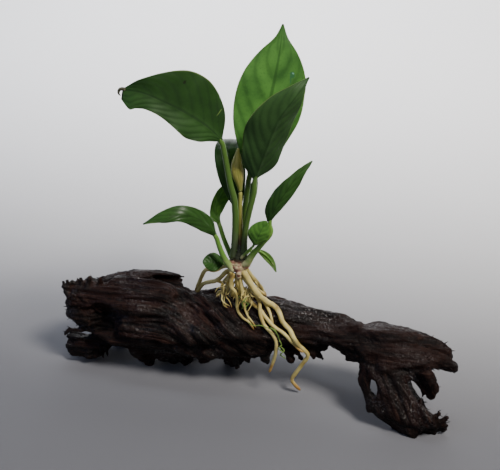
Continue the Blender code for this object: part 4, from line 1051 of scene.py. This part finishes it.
def eased(strands, tree=None):
    """Strands of (points, radii), moved clear of the wood, the floor and each other."""
    owner = np.repeat(np.arange(len(strands)), [len(points) for points, _ in strands])
    places = np.array([tuple(point) for points, _ in strands for point in points])
    radius = np.array([
        along_value(radii, i / (len(points) - 1))
        for points, radii in strands for i in range(len(points))
    ])
    first = np.r_[True, owner[1:] != owner[:-1]]
    last = np.r_[owner[1:] != owner[:-1], True]
    inner = ~(first | last)
    need = radius[:, None] + radius[None] + STRAND_GAP
    strange = owner[:, None] != owner[None]
    start = places.copy()
    for turn in range(EASE_TURNS):
        if turn < EASE_TURNS - LAST_TURNS:
            moved = places - start
            middle = (np.roll(moved, 1, 0) + np.roll(moved, -1, 0)) / 2
            places[inner] += (middle - moved)[inner] * EASE_DRAW
        apart = places[:, None] - places[None]
        far = np.maximum(np.linalg.norm(apart, axis=2), 0.01)
        clash = strange & (far < need)
        push = (np.where(clash, (need - far) / far, 0)[..., None] * apart).sum(1) / 2
        places += push / np.maximum(clash.sum(1), 1)[:, None]
        if tree:
            for k, place in enumerate(places):
                places[k] = cleared(Vector(place), radius[k] + WOOD_GAP, tree)
            places[:, 2] = np.maximum(places[:, 2], radius + FLOOR_GAP)
    return [[Vector(place) for place in places[owner == k]] for k in range(len(strands))]


def cleared(point, reach, tree):
    """A point in millimetres, moved out of the wood until it is reach away from it."""
    skin, normal, _, _ = tree.find_nearest(point * MM)
    skin = skin / MM
    inside = (point - skin).dot(normal) < 0
    if inside or (point - skin).length < reach:
        out = normal if inside else (point - skin).normalized()
        return skin + out * reach
    return point


def strands_of(table, tree=None):
    """The routes of a table, eased: (name, points, radii)."""
    rough = [
        (spaced(route, round(length_of(route) / EASE_STEP)), radii)
        for route, radii in table.values()
    ]
    return [(name, line, table[name][1]) for name, line in zip(table, eased(rough, tree))]


def midrib_under(name):
    """The line of a blade's midrib on its underside, from the stalk most of the way to the tip."""
    rib, sides = BLADES[name]
    line = spaced(rib, RIB_STEPS)
    under = [
        p - blade_frame(way, sides)[1] * RIB_SINK * (1 - 0.5 * k / RIB_STEPS)
        for k, (p, way) in enumerate(zip(line, tangents(line)))
    ]
    return under[1:round(RIB_STEPS * RIB_REACH) + 1]


def stalks():
    """The stalks. Those of leaves run on as the midribs."""
    for seed, (name, points, radii) in enumerate(strands_of(STALKS)):
        leaf = name.replace("stalk", "leaf")
        if leaf in BLADES:
            rib = midrib_under(leaf)
            split = length_of(points) / (length_of(points) + length_of(rib))
            shares = [k / STALK_STEPS for k in range(STALK_STEPS + 1)]
            radii = [
                along_value(radii, share / split) if share < split
                else min(radii[-1], along_value(RIB_RADII, (share - split) / (1 - split)))
                for share in shares
            ]
            points = points[:-1] + rib
        skin = "side_stalk" if name in SIDE_STALKS else "bundle_stalk"
        if name == "stalk_flower":
            skin = "flower_stalk"
        bm = bmesh.new()
        strand(bm, points, radii, STALK_WOBBLE, seed)
        strand_piece(name, bm, PLANT_PLACE, skin, [name])


def roots(tree):
    for seed, (name, points, radii) in enumerate(strands_of(ROOTS, tree)):
        bm = bmesh.new()
        strand(bm, points, radii, ROOT_WOBBLE, seed)
        strand_piece(name, bm, WOOD_PLACE, "root", [name])


def curled_tip():
    """The dried end of the broad leaf."""
    bm = bmesh.new()
    strand(bm, CURLED_TIP, CURLED_RADII, ROOT_WOBBLE, 1)
    finished(piece("broad_leaf_curl", bm, PLANT_PLACE), [skins["dried_leaf"]], [])


def wandering(start, heading, length, reach, tree, chance):
    """A curly line that winds from start, sinks, and stays out of the wood."""
    point, points = start, [start]
    for _ in range(round(length)):
        sway = Vector([chance.gauss(0, spread) for spread in ROOTLET_SWAY])
        heading = (heading + sway * ROOTLET_CURL + Vector(ROOTLET_SINK)).normalized()
        point = cleared(point + heading, reach, tree)
        points.append(point)
    return points


def rootlets(tree):
    """Thin curly roots in the tangle between the crown and the wood."""
    bm = bmesh.new()
    chance = random.Random(21)
    for k in range(ROOTLETS):
        start = Vector([chance.uniform(a, b) for a, b in zip(*ROOTLET_BOX)])
        heading = Vector((chance.uniform(*ROOTLET_SWING), *ROOTLET_FALL)).normalized()
        radius = chance.uniform(*ROOTLET_RADII)
        line = wandering(start, heading, chance.uniform(*ROOTLET_LENGTHS), radius, tree, chance)
        strand(bm, line, [radius * t for t in ROOTLET_TAPER], ROOT_WOBBLE, k, sides=7)
    strand_piece("rootlets", bm, WOOD_PLACE, "root", [])


def moss(tree):
    """Threads of moss caught on the roots, with hairs on them."""
    bm = bmesh.new()
    chance = random.Random(5)
    for k, thread in enumerate(MOSS_THREADS):
        line = [cleared(p, MOSS_RADIUS, tree) for p in spaced(thread, MOSS_STEPS)]
        strand(bm, line, (MOSS_RADIUS, MOSS_RADIUS * MOSS_TAPER), MOSS_WOBBLE, k, sides=6)
        for p in line:
            for _ in range(MOSS_HAIRS):
                heading = Vector([chance.gauss(0, 1) for _ in range(3)])
                hair = [p, p + heading.normalized() * chance.uniform(*HAIR_LENGTHS)]
                strand(bm, hair, HAIR_RADII, HAIR_WOBBLE, k, sides=4)
    strand_piece("moss_threads", bm, WOOD_PLACE, "moss", [])


def crown():
    """The crown: lumps under one scarred skin."""
    bm = bmesh.new()
    for middle, half_sizes in CROWN_LUMPS:
        size = Matrix.Diagonal((*half_sizes, 1))
        place = Matrix.Scale(MM, 4) @ Matrix.Translation(middle) @ size
        bmesh.ops.create_icosphere(bm, subdivisions=4, radius=1.0, matrix=place)
    body = reskinned(piece("crown", bm), CROWN_VOXEL)
    outward = [v.normal.copy() for v in body.data.vertices]
    for v, out in zip(body.data.vertices, outward):
        ring = ridged(Vector((v.co.x, v.co.y, v.co.z * CROWN_RINGS)) / MM / CROWN_PITCH)
        v.co += out * CROWN_RELIEF * ring * MM
    body.data.transform(PLANT_PLACE)
    finished(body, [skins["crown"]], ["crown"])


def flower_bud():
    """The closed flower: a folded spindle that ends in a point."""
    points = spaced(BUD_LINE, BUD_STEPS)
    along = tangents(points)

    def shape(i, angle):
        side = (Vector((1, 0, 0)) - along[i] * along[i].x).normalized()
        front = along[i].cross(side)
        share = i / BUD_STEPS
        crease = math.exp(-((angle - CREASE_PLACE - share) / CREASE_WIDTH) ** 2)
        fold = 1 + FOLD_DEPTH * math.cos(3 * angle + FOLD_TURN * share) - CREASE_DEPTH * crease
        radius = along_value(BUD_RADII, share) * fold
        return (side * math.cos(angle) + front * math.sin(angle)) * radius * MM

    bm = bmesh.new()
    loft(bm, [p * MM for p in points], BUD_RING, shape)
    strand_piece("flower_bud", bm, PLANT_PLACE, "flower_bud", ["flower_bud"])


def linear(code):
    """A colour written as sRGB hex, in the linear numbers that a shader takes."""
    parts = [int(code[i:i + 2], 16) / 255 for i in (1, 3, 5)]
    return (*(c / 12.92 if c <= 0.04045 else ((c + 0.055) / 1.055) ** 2.4 for c in parts), 1.0)


def fed(tree, node, inputs):
    """Gives a node its inputs, by place or by name: each is a number, a hex colour or another
    node's output."""
    for key, value in inputs.items() if isinstance(inputs, dict) else enumerate(inputs):
        if isinstance(value, bpy.types.NodeSocket):
            tree.links.new(value, node.inputs[key])
        else:
            node.inputs[key].default_value = linear(value) if isinstance(value, str) else value


def add_node(tree, kind, inputs=(), out=0, **settings):
    """Adds a node with its settings and inputs, and gives back the output asked for."""
    node = tree.nodes.new("ShaderNode" + kind)
    for name, value in settings.items():
        setattr(node, name, value)
    fed(tree, node, inputs)
    return node.outputs[out]


def new_skin(name, roughness, shine=0.4):
    """A material with its uniform numbers on the shader's own sockets, the function that adds its
    nodes, and its place. A noise read in that place has its scale in patches to a metre, so 1000
    makes them about 1 mm wide."""
    skin = bpy.data.materials.new(name)
    skin.use_nodes = True
    dressed(skin, {"Roughness": roughness, "IOR": 1.45, "Specular IOR Level": shine})
    put = functools.partial(add_node, skin.node_tree)
    return skin, put, put("TexCoord", out="Object")


def dressed(skin, inputs):
    """The material, with these inputs of its shader."""
    fed(skin.node_tree, skin.node_tree.nodes["Principled BSDF"], inputs)
    return skin


def painted(put, colour, coats):
    """A colour with coats over it: each one is laid where a value goes from low to high, as
    strongly as its share."""
    for value, low, high, share, coat in coats:
        where = put(
            "MapRange", {0: value, LOW: low, HIGH: high, TOP: share},
            interpolation_type="SMOOTHSTEP",
        )
        colour = put("Mix", {0: where, MIX_A: colour, MIX_B: coat}, MIXED, data_type="RGBA")
    return colour


def wet_driftwood():
    """Bog wood, dug and soaked: nearly black, with red-brown fibres, and a film of water that
    glints in spots. Its fibres are drawn 1 mm apart, coarser than real ones, so that they show.
    The crests of its fine ridges are lighter and their furrows darker: partly wear, and partly
    painted highlight on the crests and painted shade in the furrows.
    It is darker towards its right end: partly its own tone there, and partly painted shade
    that holds back the window's light on that end."""
    skin, put, place = new_skin("wet_bog_wood", 0.6, 0.12)
    grain = put("Attribute", out="Vector", attribute_name="grain")
    height = put("Attribute", out="Fac", attribute_name="height")
    fine = put("VectorMath", (grain, (0.05, 0.95, 0.95)), operation="MULTIPLY")
    fibres = put("TexNoise", {"Vector": fine, "Scale": 1.0, "Detail": 5.0, "Roughness": 0.65})
    wide = put("VectorMath", (grain, (0.02, 0.16, 0.16)), operation="MULTIPLY")
    bands = put("TexNoise", {"Vector": wide, "Scale": 1.0, "Detail": 3.0})
    pits = put("TexNoise", {"Vector": place, "Scale": 1000.0, "Detail": 3.0, "Roughness": 0.6})
    wet = put("TexNoise", {"Vector": place, "Scale": 55.0, "Detail": 2.0})
    length = put("SeparateXYZ", (place,), "X")
    colour = painted(put, "#050303", [
        # By the fine ridges' height: lighter crests and darker furrows, partly wear and partly painted
        # highlight and painted shade.
        (height, -0.5, 0.5, 1.0, "#140e0c"), (bands, 0.43, 0.61, 0.85, "#23130f"),
        (fibres, 0.54, 0.72, 0.7, "#3d2a22"), (fibres, 0.48, 0.34, 0.85, "#030202"),
        (pits, 0.58, 0.74, 0.3, "#3a2a22"), (pits, 0.42, 0.30, 0.6, "#030202"),
        # Darker towards the right end: partly the wood's own tone, partly painted shade against the
        # window's light.
        (length, 0.0, 0.05, 0.35, "#0e0605"),
    ])
    rough = put("MapRange", {0: pits, LOW: 0.34, HIGH: 0.5, BOTTOM: 0.18, TOP: 0.7})
    film = put("MapRange", {0: wet, LOW: 0.48, HIGH: 0.62})
    drops = put("MapRange", {0: pits, LOW: 0.5, HIGH: 0.6, TOP: film})
    bump = put("Bump", {"Strength": 0.9, "Distance": 0.0006, "Height": fibres})
    grit = put("Bump", {"Strength": 0.8, "Distance": 0.0006, "Height": pits, "Normal": bump})
    ripples = put("Bump", {"Strength": 1.0, "Distance": 0.0008, "Height": pits})
    return dressed(skin, {
        "Base Color": colour, "Roughness": rough, "Coat Weight": drops, "Coat Roughness": 0.09,
        "Normal": grit, "Coat Normal": ripples,
    })


def leaf_skin(name, dark, light, vein, veins, roughness, marks=()):
    """A living anubias blade, seen from above: waxy and leathery, with paler fields between
    sunk veins that sweep up from the midrib, a thin clear margin, and soft-edged marks."""
    skin, put, place = new_skin(name, roughness, 0.2)
    uv = put("UVMap", uv_map="blade")
    side, run = (put("SeparateXYZ", (uv,), axis) for axis in "XY")
    mottle = put("TexNoise", {"Vector": place, "Scale": 90.0, "Detail": 3.0})
    fine = put("TexNoise", {"Vector": place, "Scale": 900.0, "Detail": 3.0})
    doubled = put("Math", (side, 2.0, -1.0), operation="MULTIPLY_ADD")
    across = put("Math", (doubled,), operation="ABSOLUTE")
    bend = put("Math", (across, VEIN_CURVE), operation="POWER")
    sweep = put("Math", (bend, -VEIN_SWEEP, run), operation="MULTIPLY_ADD")
    swayed = put("Math", (mottle, 0.03, sweep), operation="MULTIPLY_ADD")
    turns = put("Math", (swayed, 2 * math.pi * veins), operation="MULTIPLY")
    wave = put("Math", (turns,), operation="COSINE")
    coats = [
        (mottle, 0.15, 0.85, 1.0, light),
        (wave, 0.9, -0.9, 0.25, light), (wave, 0.5, 1.0, 0.27, vein),
        (fine, 0.56, 0.70, 0.22, light), (fine, 0.44, 0.30, 0.22, vein),
        (across, 0.07, 0.02, 0.6, vein), (across, 0.965, 0.99, 0.25, "#8a9a4a"),
        (run, 0.985, 0.995, 0.8, "#1d140c"),
    ]
    for spot, reach, code, share in marks:
        near = put("VectorMath", (uv, (*spot, 0.0)), operation="SUBTRACT")
        scaled = put("VectorMath", (near, (*reach, 1.0)), operation="DIVIDE")
        far = put("VectorMath", (scaled,), "Value", operation="LENGTH")
        edge = put("Math", (fine, 0.9, far), operation="MULTIPLY_ADD")
        coats.append((edge, 1.6, 1.1, share, code))
    veined = put("Bump", {"Strength": 0.2, "Distance": 0.0003, "Height": wave}, invert=True)
    pores = put("Bump", {"Strength": 0.25, "Distance": 0.0001, "Height": fine, "Normal": veined})
    return dressed(skin, {"Base Color": painted(put, dark, coats), "Normal": pores})


def mottled_skin(name, roughness, scale, detail, base, low, high, light):
    """A surface with nothing on it but a soft mottle from one colour to another."""
    skin, put, place = new_skin(name, roughness)
    mottle = put("TexNoise", {"Vector": place, "Scale": scale, "Detail": detail})
    return dressed(skin, {"Base Color": painted(put, base, [(mottle, low, high, 1.0, light)])})


def stalk_skin(name, base, middle, top, roughness, sheath):
    """A living stalk: smooth and waxy. Its colour changes above the sheath, and towards the
    blade."""
    skin, put, place = new_skin(name, roughness)
    mottle = put("TexNoise", {"Vector": place, "Scale": 260.0, "Detail": 4.0})
    uv = put("UVMap", uv_map="run")
    run = put("SeparateXYZ", (uv,), "X")
    moved = put("Math", (mottle, 0.25, run), operation="MULTIPLY_ADD")
    stretched = put("VectorMath", (uv, (6.0, 30.0, 1.0)), operation="MULTIPLY")
    lines = put("TexNoise", {"Vector": stretched, "Scale": 1.0, "Detail": 3.0})
    colour = painted(put, base, [
        (moved, sheath + 0.1, sheath + 0.3, 1.0, middle), (moved, 0.6, 1.1, 1.0, top),
        (mottle, 0.55, 0.75, 0.35, base),
    ])
    bump = put("Bump", {"Strength": 0.3, "Distance": 0.0002, "Height": lines})
    return dressed(skin, {"Base Color": colour, "Normal": bump})


def root_skin():
    """A living root: yellow cream and slightly furry, stained brown in patches and at its tip."""
    skin, put, place = new_skin("living_root", 0.5)
    mottle = put("TexNoise", {"Vector": place, "Scale": 170.0, "Detail": 5.0})
    run = put("SeparateXYZ", (put("UVMap", uv_map="run"),), "X")
    fur = put("TexNoise", {"Vector": place, "Scale": 1500.0, "Detail": 3.0})
    worn = put("Math", (mottle, 0.25, run), operation="MULTIPLY_ADD")
    colour = painted(put, "#bdb070", [
        (mottle, 0.35, 0.7, 1.0, "#988646"), (mottle, 0.60, 0.74, 0.75, "#6b4f28"),
        (worn, 0.95, 1.14, 0.8, "#8a5a24"),
    ])
    bump = put("Bump", {"Strength": 0.4, "Distance": 0.0002, "Height": fur})
    return dressed(skin, {"Base Color": colour, "Normal": bump})


def crown_skin():
    """The crown's bark: dark red at the bottom, pink and cream above, and dull green where the
    old sheaths are."""
    skin, put, place = new_skin("rhizome_bark", 0.5)
    mottle = put("TexNoise", {"Vector": place, "Scale": 420.0, "Detail": 4.0})
    height = put("SeparateXYZ", (place,), "Z")
    moved = put("Math", (mottle, 0.006, height), operation="MULTIPLY_ADD")
    colour = painted(put, "#4a1c14", [
        (moved, 0.0715, 0.0750, 1.0, "#83584a"), (mottle, 0.44, 0.58, 0.8, "#b8aa84"),
        (moved, 0.0775, 0.0815, 1.0, "#3c4030"),
    ])
    bump = put("Bump", {"Strength": 0.5, "Distance": 0.0003, "Height": mottle})
    return dressed(skin, {"Base Color": colour, "Normal": bump})


def bud_skin():
    """A closed spathe past its best: tan, green at its foot, with fine lengthwise ribs."""
    skin, put, place = new_skin("closed_spathe", 0.45)
    mottle = put("TexNoise", {"Vector": place, "Scale": 320.0, "Detail": 4.0})
    uv = put("UVMap", uv_map="run")
    run = put("SeparateXYZ", (uv,), "X")
    stretched = put("VectorMath", (uv, (3.0, 24.0, 1.0)), operation="MULTIPLY")
    ribs = put("TexNoise", {"Vector": stretched, "Scale": 1.0, "Detail": 3.0})
    colour = painted(put, "#84863e", [
        (ribs, 0.35, 0.65, 1.0, "#aba559"), (run, 0.35, 0.0, 0.7, "#5c6a2c"),
        (mottle, 0.6, 0.75, 0.6, "#5b4b22"),
    ])
    bump = put("Bump", {"Strength": 0.3, "Distance": 0.0003, "Height": ribs})
    return dressed(skin, {"Base Color": colour, "Normal": bump})


def card_skin():
    """Matt card, painted dark grey in front and paler up the backdrop: painted shade where the light
    falls off towards the camera.
    """
    skin, put, place = new_skin("pale_card", 0.9, 0.1)
    depth = put("SeparateXYZ", (place,), "Y")
    # From dark grey in front to pale up the backdrop: painted shade of the light's falloff.
    colour = painted(put, "#626367", [(depth, -0.04, 0.385, 1.0, "#f0f0f0")])
    return dressed(skin, {"Base Color": colour})


def stage():
    """A floor that turns up into a backdrop in one bend."""
    path = [(CARD_FRONT, 0), (CARD_TURN, 0)]
    for k in range(1, CARD_FACETS + 1):
        bend = math.radians(90 * k / CARD_FACETS)
        path.append((CARD_TURN + CARD_RADIUS * math.sin(bend), CARD_RADIUS * (1 - math.cos(bend))))
    path.append((CARD_TURN + CARD_RADIUS, CARD_TOP))
    bm = bmesh.new()
    bmesh.ops.create_grid(bm, x_segments=1, y_segments=len(path) - 1, size=1.0)
    for v in bm.verts:
        y, z = path[round((v.co.y + 1) / 2 * (len(path) - 1))]
        v.co = (v.co.x * CARD_HALF_WIDTH, y, z)
    card = piece("card_sweep", bm)
    card.data.materials.append(skins["card"])
    card.data.shade_smooth()


def lamp(name, place, target, size, power, colour, spread):
    """A soft square light at a place, in metres, turned to a target, and spread in degrees."""
    light = bpy.data.lights.new(name, "AREA")
    light.size = size
    light.energy = power
    light.spread = math.radians(spread)
    light.color = linear(colour)[:3]
    obj = bpy.data.objects.new(name, light)
    obj.location = place
    obj.rotation_euler = (Vector(target) - Vector(place)).to_track_quat("-Z", "Y").to_euler()
    bpy.context.scene.collection.objects.link(obj)


def lights():
    """A window high up at the right, sky light on the card, a blue fill from the left, a faint
    white one from the front, and a dim surround."""
    lamp("window", (0.54, -0.36, 0.95), (0, 0.05, 0.05), 0.26, 19.0, "#fff8f0", 180.0)
    lamp("sky_over_card", (-0.12, 0.25, 0.85), (-0.14, 0.60, 0.20), 0.5, 4.2, "#f6f9ff", 100.0)
    lamp("left_fill", (-0.9, -0.3, 0.45), (0, 0.1, 0.08), 0.8, 2.4, "#9ab8ff", 180.0)
    lamp("front_fill", (-0.25, -0.9, 0.5), (0, 0, 0.1), 0.5, 1.0, "#ffffff", 180.0)
    world = bpy.data.worlds.new("surround")
    world.use_nodes = True
    surround = world.node_tree.nodes["Background"]
    fed(world.node_tree, surround, {"Color": "#cfdcf4", "Strength": 0.06})
    bpy.context.scene.world = world


def camera():
    """The camera where the photograph was taken from."""
    level = math.cos(CAMERA_PITCH)
    back = Vector((
        math.sin(CAMERA_YAW) * level, -math.cos(CAMERA_YAW) * level, math.sin(CAMERA_PITCH),
    ))
    view = bpy.data.cameras.new("camera")
    view.lens = LENS
    view.sensor_fit = "HORIZONTAL"
    obj = bpy.data.objects.new("camera", view)
    obj.location = (Vector(CAMERA_TARGET) + back * CAMERA_FAR) * MM
    obj.rotation_euler = back.to_track_quat("Z", "Y").to_euler()
    bpy.context.scene.collection.objects.link(obj)
    bpy.context.scene.camera = obj


skins = {
    "wood": wet_driftwood(),
    # Two dull blue-green bruises where the tall blade is scuffed, and on them a pale blue streak that
    # is a painted glint.
    "leaf_tall": leaf_skin("tall_anubias_blade", "#2c5024", "#4b7a34", "#22421b", 6, 0.42, [
        ((0.775, 0.70), (0.045, 0.022), "#1f4f3c", 0.6),
        ((0.75, 0.67), (0.012, 0.03), "#1f4f3c", 0.5),
        ((0.79, 0.71), (0.02, 0.006), "#7fb0a0", 0.45),
    ]),
    "leaf_front": leaf_skin("front_anubias_blade", "#263e20", "#36552c", "#21391c", 8, 0.5),
    # A pale scratch and a dark spot on the broad blade.
    "leaf_broad": leaf_skin("broad_anubias_blade", "#1a3215", "#26451a", "#142a10", 8, 0.6, [
        ((0.86, 0.18), (0.09, 0.003), "#7d9a50", 0.5),
        ((0.84, 0.56), (0.03, 0.012), "#141a0c", 0.8),
    ]),
    "leaf_lance": leaf_skin("lance_anubias_blade", "#1f3617", "#305122", "#192d11", 6, 0.36),
    "leaf_young": leaf_skin("young_anubias_blade", "#345a22", "#527f33", "#2f5222", 5, 0.38),
    # The underside of a living blade: paler, duller and evenly green.
    "leaf_back": mottled_skin("leaf_underside", 0.5, 140.0, 4.0, "#3d5a24", 0.1, 0.9, "#4f7030"),
    # The dried end of a blade: dull, dark and mottled.
    "dried_leaf": mottled_skin(
        "dried_leaf_end", 0.7, 700.0, 3.0, "#26261c", 0.35, 0.65, "#55563e"
    ),
    "bundle_stalk": stalk_skin("leaf_stalk", "#48543a", "#466429", "#5a8038", 0.35, 0.06),
    "side_stalk": stalk_skin("young_leaf_stalk", "#b4b283", "#5c8436", "#46702a", 0.35, 0.0),
    "flower_stalk": stalk_skin("flower_stalk", "#4a3a2a", "#85833f", "#92934a", 0.4, 0.25),
    "root": root_skin(),
    "crown": crown_skin(),
    "flower_bud": bud_skin(),
    # Wet moss: soft, dull green threads.
    "moss": mottled_skin("wet_moss", 0.6, 300.0, 2.0, "#3c5a22", 0.3, 0.7, "#7f9a48"),
    "card": card_skin(),
}

camera()
lights()
stage()

wood = driftwood()
wood_tree = BVHTree.FromPolygons(
    [v.co for v in wood.data.vertices], [p.vertices for p in wood.data.polygons]
)
splinters = torn_grain(wood)
wood.data.transform(WOOD_PLACE)
finished(wood, [skins["wood"]], ["driftwood_trunk", "driftwood_upper_fork", "driftwood_leg"])
finished(splinters, [skins["wood"]], [])
for blade_name in BLADES:
    blade(blade_name)
curled_tip()
stalks()
roots(wood_tree)
rootlets(wood_tree)
moss(wood_tree)
crown()
flower_bud()
